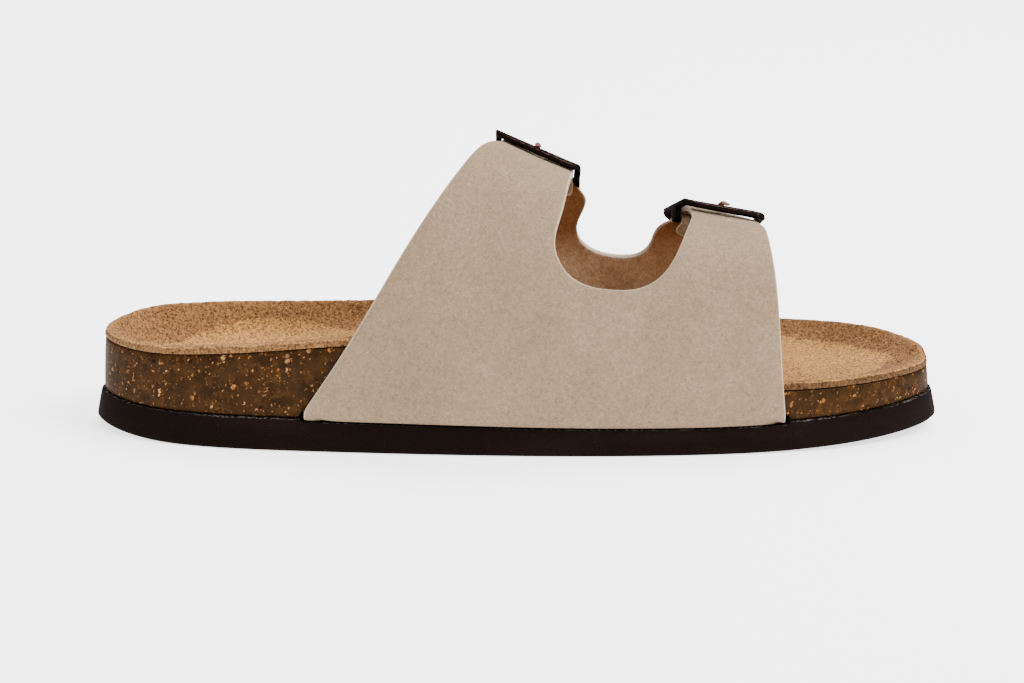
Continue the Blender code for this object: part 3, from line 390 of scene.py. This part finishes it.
def floor_start(along):
    """The ring at which the suede's pale floor starts, for a place along the shoe."""
    from_pad = (along - HEEL_PAD) / HEEL_PAD_REACH
    at_heel = (from_pad * from_pad * HEEL_BOW + HEEL_RING).at_most(HEEL_LIMIT)
    return along.step(*HEEL_TO_ARCH).mixed(at_heel, FLOOR_RING)


def suede_finish(settings):
    """Coarse suede: darker on the walls as painted shade, pale on the floor, and with a painted
    highlight in a pale line along the rim.
    """
    finish = Finish("suede", sheen_weight=0.03, specular_ior_level=0.1)
    place = finish.place()
    along = place.part("X")
    ring = finish.painted("ring")
    level = finish.facing().part("Z")
    nap = place.grain(0.00085, roughness=0.75)
    fine = place.grain(0.00045, detail=2.0, shift=(2, 1, 0))
    tuft = place.cells(0.00110, feature="SMOOTH_F1")
    sweep = place.grain(0.016, stretch=(0.6, 1, 1))
    smudge = place.grain(0.006, shift=(1, 2, 0))
    ragged = ring + (smudge - 0.5) * 0.25 + (nap - 0.5) * 0.40
    floor = (ragged - floor_start(along)).step(-0.18, 0.18)
    shoulder = ring.step(3.4, 2.0)
    lip = ring.step(2.4, 1.5) * level.step(0.93, 0.75)
    # painted highlight: a pale line along the top of the rim
    line = ring.step(0.35, 0.80) * ring.step(1.9, 1.3) * level.step(0.80, 0.93)
    side = level.step(0.50, 0.25)
    edge = along.step(*TOE_RIM).between(settings.suede_edge, shaded(settings.suede_edge, 0.58))
    # painted shade: the walls take the darker suede, the floor and the shoulder by the rim the pale
    # suede
    colour = floor.between(settings.suede_shade, settings.suede)
    colour = (shoulder * 0.30).between(colour, settings.suede)
    colour = lip.between(colour, edge)
    # the painted highlight along the rim, in suede made 15 per cent lighter
    colour = (line * 0.8).between(colour, shaded(settings.suede, 1.15))
    colour = side.between(colour, edge)
    grain = nap.step(0.36, 0.64) * 0.58 + fine.step(0.34, 0.66) * 0.36 + tuft.step(0.15, 0.75) * 0.2
    tone = (0.06 + grain * 1.60) * (0.88 + sweep.step(0.3, 0.7) * 0.20)
    colour = colour.times(tone * (1.0 - along.step(*TOE_SHADE) * 0.18))
    finish.set(base_color=colour, roughness=0.95)
    finish.relief(nap * 0.65 + tuft * 0.4 + fine * 0.2, settings.nap_depth, 0.9)
    return finish.material


# Size, rarity, radius and shift of the cork's flecks; the radius is a share of the size.
FLECKS = [(0.0034, 0.66, 0.17, 0.3), (0.0021, 0.64, 0.17, 0.7), (0.0013, 0.60, 0.18, 1.1)]
WARM_CORK = (1.9, 1.7, 1.3)  # red, green and blue of the warm grains over the cork's own
PIT_SIZE, PIT_SHIFT = 0.0052, (2, 1, 3)
WARP = 0.0030  # how far the cork's grains are pushed out of their cells
CORK_RELIEF = 0.00028


def cork_finish(settings):
    """Pressed cork under lacquer: brown grains with orange, cream and black flecks."""
    finish = Finish("lacquered_cork", coat_roughness=0.25, coat_ior=1.30, specular_ior_level=0.02)
    place = finish.place()
    cloud = place.grain(0.009)
    clump = place.grain(0.0065, detail=2.0, shift=(4, 2, 1))
    fine = place.grain(0.00060, roughness=0.7)
    wobble = place.grain(0.0012, detail=2.0, shift=(1, 5, 2))
    warped = place.moved(wobble * WARP)
    grains = warped.cells(0.0021, "Color")
    tone = grains.part("X") * 0.30 + cloud * 0.45 + fine * 0.60
    colour = tone.step(0.35, 1.00).between(settings.cork_deep, settings.cork)
    warm = [channel * factor for channel, factor in zip(settings.cork, WARM_CORK)]
    colour = ((grains.part("Y") > 0.78) * fine.step(0.40, 0.62) * 0.6).between(colour, warm)
    bumps = grains.part("Z") * 0.3
    for size, rarity, radius, shift in FLECKS:
        offset = (shift, shift * 2, shift * 3)
        near = warped.cells(size, shift=offset)
        chance = warped.cells(size, "Color", shift=offset)
        chosen = (chance.part("X") + (clump - 0.5) * 0.7) > rarity
        shown = chosen * (near + (fine - 0.5) * 0.16).step(radius + 0.08, radius)
        shade = (chance.part("Y") ** 1.7).between(settings.fleck, settings.pale_fleck)
        colour = (shown * (0.30 + chance.part("Z") * 0.70)).between(colour, shade)
        bumps = bumps + shown * 0.6
    chosen = place.cells(PIT_SIZE, "Color", shift=PIT_SHIFT).part("Y") > 0.80
    pit = chosen * place.cells(PIT_SIZE, shift=PIT_SHIFT).step(0.14, 0.10)
    colour = (pit * 0.85).between(colour, settings.pit)
    finish.set(base_color=colour, roughness=0.55 + fine * 0.2, coat_weight=0.01 + cloud * 0.10)
    finish.relief(bumps + fine * 0.8 - pit * 1.5, CORK_RELIEF, 0.5)
    return finish.material


FOAM_RELIEF = 0.00012


def foam_finish(settings):
    """Dark foam with a fine skin, dust, and a broken pale line along its upper rim, for the glue
    and a painted highlight.
    """
    finish = Finish("foam", specular_ior_level=0.02)
    place = finish.place()
    skin = place.grain(0.0011, detail=4.0, roughness=0.65)
    smear = place.grain(0.022, stretch=(0.4, 1, 1.8))
    scuff = smear.step(0.4, 0.75) * 0.5 + skin.step(0.45, 0.8) * 0.4
    colour = scuff.between(settings.foam, shaded(settings.foam, 2.0))
    dust = (place.cells(0.0016) < 0.10) * (smear > 0.55)
    colour = (dust * 0.25).between(colour, settings.dust)
    broken = place.grain(0.0011, roughness=0.7).step(0.46, 0.64) * smear.step(0.36, 0.56)
    # glue and painted highlight: faces that look up take the pale colour in broken patches
    rim = finish.facing().part("Z").step(0.55, 0.80)
    colour = (rim * broken).between(colour, settings.glue_and_highlight)
    finish.set(base_color=colour, roughness=0.70 + skin * 0.20)
    finish.relief(skin, FOAM_RELIEF, 0.6)
    return finish.material


EDGE_TINT = (0.20, 0.15, 0.13, 1.0)  # of the metal where it is seen aslant
METAL_RELIEF = 0.00005


def metal_finish(name, colour, rubbed_and_highlight, share):
    """Antique plated metal, with the rubbed colour over a share: coating worn through, and on the
    bright metal a painted highlight too.
    """
    finish = Finish(name, metallic=0.95, specular_tint=EDGE_TINT)
    place = finish.place()
    patches = place.grain(0.0016, roughness=0.65)
    fine = place.grain(0.0005, detail=2.0)
    mask = patches.step(0.70 - share * 0.45, 0.85 - share * 0.35)
    finish.set(base_color=mask.between(colour, rubbed_and_highlight), roughness=0.44 + fine * 0.24)
    finish.relief(fine * 0.5 + mask * 0.5, METAL_RELIEF, 0.4)
    return finish.material


def floor_finish(settings):
    """Plain pale floor that gives some light of its own."""
    finish = Finish("floor", roughness=0.9, specular_ior_level=0.1)
    finish.set(base_color=opaque(settings.floor), emission_color=opaque(settings.floor))
    finish.set(emission_strength=settings.glow)
    return finish.material


# Shapes


MERGE_DISTANCE = 2e-6
# How far two triangles may be from level, and their quad from square, to be joined.
LEVEL_LIMIT, SQUARE_LIMIT = math.radians(25), math.radians(60)


def merged_copy(node):
    """A node's shape as one closed skin."""
    shape = bmesh.new()
    shape.from_mesh(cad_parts[node].data)
    bmesh.ops.remove_doubles(shape, verts=shape.verts, dist=MERGE_DISTANCE)
    return shape


def whole_quads(shape, faces=None):
    """Joins pairs of triangles that lie nearly level."""
    bmesh.ops.join_triangles(
        shape,
        faces=faces or shape.faces,
        angle_face_threshold=LEVEL_LIMIT,
        angle_shape_threshold=SQUARE_LIMIT,
    )


def sharp_edges(shape, degrees):
    """Edges whose faces meet at more than an angle."""
    shape.normal_update()
    limit = math.radians(degrees)
    return [edge for edge in shape.edges if edge.is_manifold and edge.calc_face_angle(0) > limit]


def rounded(shape, edges, width, segments=1):
    """Bevels the edges, and gives the new faces."""
    made = bmesh.ops.bevel(
        shape,
        geom=edges,
        offset=width,
        offset_type="OFFSET",
        segments=segments,
        profile=0.5,
        affect="EDGES",
        clamp_overlap=True,
        material=-1,
    )
    return made["faces"]


def refined(shape, levels):
    """The shape after smooth subdivision."""
    mesh = bpy.data.meshes.new("coarse")
    shape.to_mesh(mesh)
    shape.free()
    holder = bpy.data.objects.new("coarse", mesh)
    bpy.context.scene.collection.objects.link(holder)
    smooth = holder.modifiers.new("Subdivision", "SUBSURF")
    smooth.levels = levels
    smooth.render_levels = levels
    finer = bpy.data.meshes.new_from_object(
        holder.evaluated_get(bpy.context.evaluated_depsgraph_get())
    )
    bpy.data.objects.remove(holder)
    bpy.data.meshes.remove(mesh)
    result = bmesh.new()
    result.from_mesh(finer)
    bpy.data.meshes.remove(finer)
    return result


def new_piece(name, shape, materials, nodes):
    """An object from a shape, riding on the shoe in place of its nodes."""
    mesh = bpy.data.meshes.new(name)
    shape.to_mesh(mesh)
    shape.free()
    for material in materials:
        mesh.materials.append(material)
    mesh.shade_smooth()
    piece = bpy.data.objects.new(name, mesh)
    bpy.context.scene.collection.objects.link(piece)
    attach(piece, "root")
    if nodes:
        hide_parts(*nodes)
    return piece


# Upper


FOOT_Y, FOOT_Z = 0.005, 0.035  # middle of the foot, across the shoe


def outward(point):
    """The way from the middle of the foot to a point, across the shoe."""
    return Vector((0.0, point.y - FOOT_Y, point.z - FOOT_Z))


def outwardness(faces):
    """Positive where faces look away from the middle of the foot."""
    return sum(
        face.calc_area() * face.normal.dot(outward(face.calc_center_median())) for face in faces
    )


def face_regions(shape, degrees):
    """Groups of faces that meet at less than an angle, largest first."""
    shape.normal_update()
    limit = math.radians(degrees)
    left = set(shape.faces)
    groups = []
    while left:
        start = left.pop()
        group, waiting = [start], [start]
        while waiting:
            face = waiting.pop()
            for edge in face.edges:
                if not edge.is_manifold or edge.calc_face_angle(0) > limit:
                    continue
                for other in edge.link_faces:
                    if other in left:
                        left.remove(other)
                        group.append(other)
                        waiting.append(other)
        groups.append(group)
    return sorted(groups, key=lambda faces: -sum(face.calc_area() for face in faces))


EDGE, GRAIN, LINING = range(3)  # kinds of faces
BAND_DEPTH = 0.14  # of the wall that the rounding of an edge takes up


def leather_shape(node, settings):
    """A half of the upper with rounded cut edges, and at each point its depth in the
    wall: 1 on the grain side, 0 on the lining."""
    shape = merged_copy(node)
    kind = shape.faces.layers.int.new("kind")
    depth = shape.verts.layers.float.new("depth")
    sides = sorted(face_regions(shape, degrees=50)[:2], key=outwardness)
    for side, faces in zip((LINING, GRAIN), sides):
        for face in faces:
            face[kind] = side
    rim = [edge for edge in shape.edges if len({face[kind] for face in edge.link_faces}) == 2]
    for face in rounded(shape, rim, settings.edge_rounding):
        face[kind] = EDGE
    lining = [face for face in shape.faces if face[kind] == LINING]
    grain = [face for face in shape.faces if face[kind] == GRAIN]
    on_lining = {vert for face in lining for vert in face.verts}
    on_grain = {vert for face in grain for vert in face.verts}
    for vert in shape.verts:
        if vert in on_grain:
            vert[depth] = 1.0
        elif vert in on_lining:
            vert[depth] = 0.0
        elif any(edge.other_vert(vert) in on_grain for edge in vert.link_edges):
            vert[depth] = 1 - BAND_DEPTH
        else:
            vert[depth] = BAND_DEPTH
    whole_quads(shape, lining + grain)
    shape = refined(shape, 2)
    depth = shape.verts.layers.float["depth"]
    for face in shape.faces:
        mean_depth = sum(vert[depth] for vert in face.verts) / len(face.verts)
        face.material_index = 1 if mean_depth < 0.5 else 0
    return shape


# Soft folds of the leather: one end, the other end, half the width, and the depth, which is
# a ridge where it is negative.
FOLDS = [
    ((-0.030, -0.036, 0.060), (0.004, -0.042, 0.044), 0.0070, 0.00045),
    ((-0.012, -0.033, 0.072), (0.008, -0.037, 0.062), 0.0050, 0.00035),
    ((0.046, -0.043, 0.044), (0.070, -0.041, 0.036), 0.0060, 0.00040),
    ((0.000, -0.044, 0.030), (0.050, -0.045, 0.026), 0.0080, -0.00030),
    ((0.004, 0.050, 0.052), (-0.022, 0.044, 0.036), 0.0065, 0.00045),
    ((0.052, 0.053, 0.040), (0.066, 0.052, 0.026), 0.0060, 0.00040),
]
FOLD_WAVES, FOLD_SWING = 60, 0.3  # waves to the metre of a fold's width, and their share of it


def folded(shape):
    """Presses the soft folds into a half of the upper."""
    for first, second, width, depth in FOLDS:
        first, second = Vector(first), Vector(second)
        run = second - first
        for vert in shape.verts:
            share = (vert.co - first).dot(run) / run.length_squared
            near = first + run * min(1.0, max(0.0, share))
            swing = 1.0 + FOLD_SWING * noise.noise(vert.co * FOLD_WAVES)
            away = (vert.co - near).length / (width * swing)
            if away < 1.0:
                vert.co -= outward(vert.co).normalized() * depth * (1 - away * away) ** 2
    return shape


class SANDAL_OT_upper(bpy.types.Operator):
    """Make both halves of the leather upper"""

    bl_idname = "sandal.upper"
    bl_label = "Upper"

    def execute(self, context):
        settings = context.scene.sandal_upper
        leather = [nubuck_finish(settings), lining_finish(settings)]
        for node in ("upper_inner", "upper_outer"):
            shape = folded(leather_shape(node, settings))
            new_piece(node + "_leather", shape, leather, [node])
        return {"FINISHED"}


# Footbed


RING_TILT = 0.3  # faces that look up this far are counted in rings
LUMP_TILT = -0.2  # points that look down further than this stay even
LUMP_WAVES, FINE_LUMP_WAVES = 700, 1500  # to the metre
FINE_LUMP_SHARE = 0.6  # height of the fine lumps over the others


def paint_rings(shape):
    """Gives each point of the upper face its number of rings from the edge, and 0 to the
    rest."""
    shape.normal_update()
    rings = shape.verts.layers.float.new("ring")
    inner = {
        vert for vert in shape.verts if all(face.normal.z > RING_TILT for face in vert.link_faces)
    }
    ring = set(shape.verts) - inner
    number = 0
    while ring:
        number += 1
        ring = {edge.other_vert(vert) for vert in ring for edge in vert.link_edges} & inner
        inner -= ring
        for vert in ring:
            vert[rings] = number


def lumpy(shape, height):
    """Makes the suede's upper side and rim a little uneven."""
    shape.normal_update()
    for vert in shape.verts:
        if vert.normal.z > LUMP_TILT:
            bump = noise.noise(vert.co * LUMP_WAVES)
            bump += FINE_LUMP_SHARE * noise.noise(vert.co * FINE_LUMP_WAVES)
            vert.co += vert.normal * bump * height
    return shape


class SANDAL_OT_cover(bpy.types.Operator):
    """Make the suede cover of the footbed"""

    bl_idname = "sandal.cover"
    bl_label = "Suede cover"

    def execute(self, context):
        settings = context.scene.sandal_footbed
        shape = merged_copy("footbed_cover")
        rounded(shape, sharp_edges(shape, degrees=50), settings.edge_rounding)
        whole_quads(shape)
        paint_rings(shape)
        shape = lumpy(refined(shape, 2), settings.lump_height)
        new_piece("footbed_suede", shape, [suede_finish(settings)], ["footbed_cover"])
        return {"FINISHED"}


class SANDAL_OT_cork(bpy.types.Operator):
    """Make the cork footbed"""

    bl_idname = "sandal.cork"
    bl_label = "Cork"

    def execute(self, context):
        settings = context.scene.sandal_footbed
        shape = merged_copy("cork_footbed")
        whole_quads(shape)
        rounded(shape, sharp_edges(shape, degrees=50), settings.cork_rounding)
        shape = refined(shape, 1)
        new_piece("cork_body", shape, [cork_finish(settings)], ["cork_footbed"])
        return {"FINISHED"}


# Outsole


UNDER_TILT = -0.95  # faces that look down further than this are the underside
FIELD_SLOPE = 0.4  # width of the sunk field's sloping rim over its depth
LUG_ANGLE = math.radians(58)  # of the grooves to the shoe's length
LUG_HEIGHT = 1.25  # of the lugs over the field's depth, so that they reach into its floor
SMALLEST_LUG = 0.12  # area of the smallest lug over a square of the pitch
CUT_TOLERANCE = 1e-7
BELOW = -0.05  # a height under the whole sole


def underside_faces(shape):
    """The flat faces under the sole."""
    shape.normal_update()
    return [face for face in shape.faces if face.normal.z < UNDER_TILT]


def outsole_shape(settings):
    """The foam sole with a smooth border and a sunk field for its tread."""
    shape = merged_copy("outsole")
    whole_quads(shape)
    under = underside_faces(shape)
    slope = settings.tread_depth * FIELD_SLOPE
    for width in (settings.border, slope):
        bmesh.ops.inset_region(shape, faces=under, thickness=width, use_even_offset=True)
    corners = {vert for face in under for vert in face.verts}
    bmesh.ops.translate(shape, verts=list(corners), vec=(0, 0, settings.tread_depth))
    rounded(shape, sharp_edges(shape, degrees=40), settings.edge_rounding)
    return refined(shape, 1)


def tread_field(margin):
    """The sole's underside without a margin, flat and without its inner edges."""
    field = merged_copy("outsole")
    under = underside_faces(field)
    bmesh.ops.inset_region(field, faces=under, thickness=margin, use_even_offset=True)
    kept = set(under)
    rest = [face for face in field.faces if face not in kept]
    bmesh.ops.delete(field, geom=rest, context="FACES")
    for vert in field.verts:
        vert.co.z = 0.0
    bmesh.ops.dissolve_faces(field, faces=field.faces[:])
    return field


def cut_in_diamonds(field, pitch):
    """Cuts a flat field along two sets of slanting lines, a pitch apart."""
    reach = math.ceil(SOLE_LENGTH / pitch)
    for side in (-1, 1):
        across = Vector((math.sin(LUG_ANGLE), side * math.cos(LUG_ANGLE), 0))
        for number in range(-reach, reach + 1):
            bmesh.ops.bisect_plane(
                field,
                geom=field.verts[:] + field.edges[:] + field.faces[:],
                dist=CUT_TOLERANCE,
                plane_co=across * (number * pitch),
                plane_no=across,
            )


def tread_shape(settings):
    """Diamond lugs that fill the sunk field, their feet level with the sole's border."""
    sole = merged_copy("outsole")
    ground = BVHTree.FromBMesh(sole)
    sole.free()
    lugs = tread_field(settings.border + settings.groove)
    cut_in_diamonds(lugs, settings.lug_pitch)
    rims = bmesh.ops.inset_individual(lugs, faces=lugs.faces[:], thickness=settings.groove)
    bmesh.ops.delete(lugs, geom=rims["faces"], context="FACES")
    smallest = SMALLEST_LUG * settings.lug_pitch**2
    small = [face for face in lugs.faces if face.calc_area() < smallest]
    bmesh.ops.delete(lugs, geom=small, context="FACES")
    bmesh.ops.subdivide_edges(lugs, edges=lugs.edges[:], cuts=1)
    for face in lugs.faces:
        if face.normal.z > 0:
            face.normal_flip()
    lifted = bmesh.ops.extrude_face_region(lugs, geom=lugs.faces[:])
    tops = [item for item in lifted["geom"] if isinstance(item, bmesh.types.BMVert)]
    for vert in lugs.verts:
        hit = ground.ray_cast(Vector((vert.co.x, vert.co.y, BELOW)), Vector((0, 0, 1)))
        vert.co.z = hit[0].z if hit[0] else 0.0
    bmesh.ops.translate(lugs, verts=tops, vec=(0, 0, settings.tread_depth * LUG_HEIGHT))
    bmesh.ops.recalc_face_normals(lugs, faces=lugs.faces[:])
    return lugs


class SANDAL_OT_outsole(bpy.types.Operator):
    """Make the foam outsole and its tread"""

    bl_idname = "sandal.outsole"
    bl_label = "Outsole"

    def execute(self, context):
        settings = context.scene.sandal_outsole
        foam = foam_finish(settings)
        new_piece("outsole_foam", outsole_shape(settings), [foam], ["outsole"])
        lugs = new_piece("tread_lugs", tread_shape(settings), [foam], [])
        lugs.data.shade_flat()
        return {"FINISHED"}


# Buckles


HIGHLIT_RUBBED_TILT = 0.55  # edges that look up this far get the bright metal: plating rubbed off and a painted highlight
DARK_WEAR, BRIGHT_WEAR_AND_HIGHLIGHT = 0.05, 0.85  # shares of each metal in the rubbed colour: worn plating, and on the bright metal painted highlight too
TIP_HEIGHT = 0.0020  # of a prong, that its knob takes up
TIP_SPREAD, TIP_SINK = 0.9, 0.45  # wider and lower by these shares


def frame_shape(node, rounding):
    """A buckle's frame with rounded bars, their upward edges in the second material, painted rubbed
    and highlit.
    """
    shape = merged_copy(node)
    bmesh.ops.dissolve_limit(
        shape, angle_limit=math.radians(1), verts=shape.verts, edges=shape.edges
    )
    for face in rounded(shape, sharp_edges(shape, degrees=30), rounding, 2):
        # painted highlight and wear: edges that face up take the bright rubbed metal
        if face.normal.z > HIGHLIT_RUBBED_TILT:
            face.material_index = 1
    return shape


def prong_shape(node, rounding):
    """A prong with rounded edges, its tip widened and lowered to a knob."""
    shape = merged_copy(node)
    rounded(shape, sharp_edges(shape, degrees=30), rounding, 2)
    start = max(vert.co.z for vert in shape.verts) - TIP_HEIGHT
    tip = [vert for vert in shape.verts if vert.co.z > start]
    middle = sum((vert.co for vert in tip), Vector()) / len(tip)
    for vert in tip:
        share = (vert.co.z - start) / TIP_HEIGHT
        vert.co.x += (vert.co.x - middle.x) * TIP_SPREAD * share
        vert.co.y += (vert.co.y - middle.y) * TIP_SPREAD * share
        vert.co.z -= TIP_HEIGHT * TIP_SINK * share
    return shape


class SANDAL_OT_buckles(bpy.types.Operator):
    """Make both buckles, frames and prongs"""

    bl_idname = "sandal.buckles"
    bl_label = "Buckles"

    def execute(self, context):
        settings = context.scene.sandal_buckle
        dark = metal_finish("antique_metal", settings.metal, settings.rubbed_and_highlight, DARK_WEAR)
        bright = metal_finish("rubbed_and_highlit_metal", settings.metal, settings.rubbed_and_highlight, BRIGHT_WEAR_AND_HIGHLIGHT)
        for strap in ("rear", "front"):
            node = "buckle_frame_" + strap
            shape = frame_shape(node, settings.edge_rounding)
            piece = new_piece(node + "_metal", shape, [dark, bright], [node])
            piece.data.set_sharp_from_angle(angle=math.radians(40))
            node = "buckle_prong_" + strap
            shape = prong_shape(node, settings.edge_rounding)
            new_piece(node + "_metal", shape, [bright], [node])
        return {"FINISHED"}


# Stage


FLOOR_REACH = 6.0  # from the middle of the floor to its edges
SENSOR_WIDTH = 36.0  # millimetres, as Blender counts them
CAMERA_AIM = Vector((-0.00111, 0.0, 0.02607))
LAMP_AIM = Vector((0, 0, 0.03))
# Name, place, width and height, and power of the lamps.
LAMPS = [
    ("key", (1.15, -0.50, 1.45), (1.0, 1.0), 66.0),
    ("fill", (-1.25, -1.00, 0.80), (1.2, 1.2), 2.5),
    ("back", (0.15, 0.85, 1.50), (1.5, 0.9), 44.0),
]


def aimed(thing, aim):
    """Turns a camera or a lamp, which look along -Z, to a point."""
    thing.rotation_mode = "QUATERNION"
    thing.rotation_quaternion = (aim - thing.location).to_track_quat("-Z", "Y")


def lay_floor(settings):
    """The plain floor that the sandal stands on."""
    floor = bmesh.new()
    bmesh.ops.create_grid(floor, x_segments=1, y_segments=1, size=FLOOR_REACH)
    mesh = bpy.data.meshes.new("floor")
    floor.to_mesh(mesh)
    floor.free()
    mesh.materials.append(floor_finish(settings))
    ground = bpy.data.objects.new("floor", mesh)
    bpy.context.scene.collection.objects.link(ground)


def hang_lamps():
    """Soft lamps, all turned to the sandal."""
    for name, place, size, power in LAMPS:
        light = bpy.data.lights.new(name, "AREA")
        light.shape = "RECTANGLE"
        light.size, light.size_y = size
        light.energy = power
        lamp = bpy.data.objects.new(name, light)
        bpy.context.scene.collection.objects.link(lamp)
        lamp.location = place
        aimed(lamp, LAMP_AIM)


def light_sky(settings):
    """Even white light from all round."""
    world = bpy.data.worlds.new("studio")
    world.use_nodes = True
    sky = world.node_tree.nodes["Background"]
    sky.inputs["Color"].default_value = (1.0, 1.0, 1.0, 1.0)
    sky.inputs["Strength"].default_value = settings.sky
    bpy.context.scene.world = world


def set_camera(settings):
    """The camera at the photograph's angle to the shoe's inner side."""
    data = bpy.data.cameras.new("camera")
    data.lens = settings.lens
    data.sensor_width = SENSOR_WIDTH
    camera = bpy.data.objects.new("camera", data)
    bpy.context.scene.collection.objects.link(camera)
    rise = settings.camera_rise
    back = Vector((0, -math.cos(rise), math.sin(rise)))
    camera.location = CAMERA_AIM + back * settings.camera_distance
    aimed(camera, CAMERA_AIM)
    bpy.context.scene.camera = camera


class SANDAL_OT_stage(bpy.types.Operator):
    """Set the floor, the lamps and the camera"""

    bl_idname = "sandal.stage"
    bl_label = "Stage"

    def execute(self, context):
        settings = context.scene.sandal_stage
        lay_floor(settings)
        hang_lamps()
        light_sky(settings)
        set_camera(settings)
        return {"FINISHED"}


# Add-on


GROUPS = {
    "sandal_upper": UpperSettings,
    "sandal_footbed": FootbedSettings,
    "sandal_outsole": OutsoleSettings,
    "sandal_buckle": BuckleSettings,
    "sandal_stage": StageSettings,
}
OPERATORS = [
    SANDAL_OT_outsole,
    SANDAL_OT_cork,
    SANDAL_OT_cover,
    SANDAL_OT_upper,
    SANDAL_OT_buckles,
    SANDAL_OT_stage,
]


class SANDAL_PT_pieces(bpy.types.Panel):
    """Lists the sandal's pieces and their settings"""

    bl_idname = "SANDAL_PT_pieces"
    bl_label = "Sandal"
    bl_space_type = "VIEW_3D"
    bl_region_type = "UI"
    bl_category = "Sandal"

    def draw(self, context):
        for operator in OPERATORS:
            self.layout.operator(operator.bl_idname)
        for name, group in GROUPS.items():
            settings = getattr(context.scene, name)
            box = self.layout.box()
            for setting in group.__annotations__:
                box.prop(settings, setting)


CLASSES = [*GROUPS.values(), *OPERATORS, SANDAL_PT_pieces]


def register():
    for cls in CLASSES:
        bpy.utils.register_class(cls)
    for name, group in GROUPS.items():
        setattr(bpy.types.Scene, name, PointerProperty(type=group))


def unregister():
    for name in GROUPS:
        delattr(bpy.types.Scene, name)
    for cls in reversed(CLASSES):
        bpy.utils.unregister_class(cls)


def main():
    """Makes every piece."""
    register()
    for piece in ("outsole", "cork", "cover", "upper", "buckles", "stage"):
        getattr(bpy.ops.sandal, piece)()


if __name__ == "__main__":
    main()
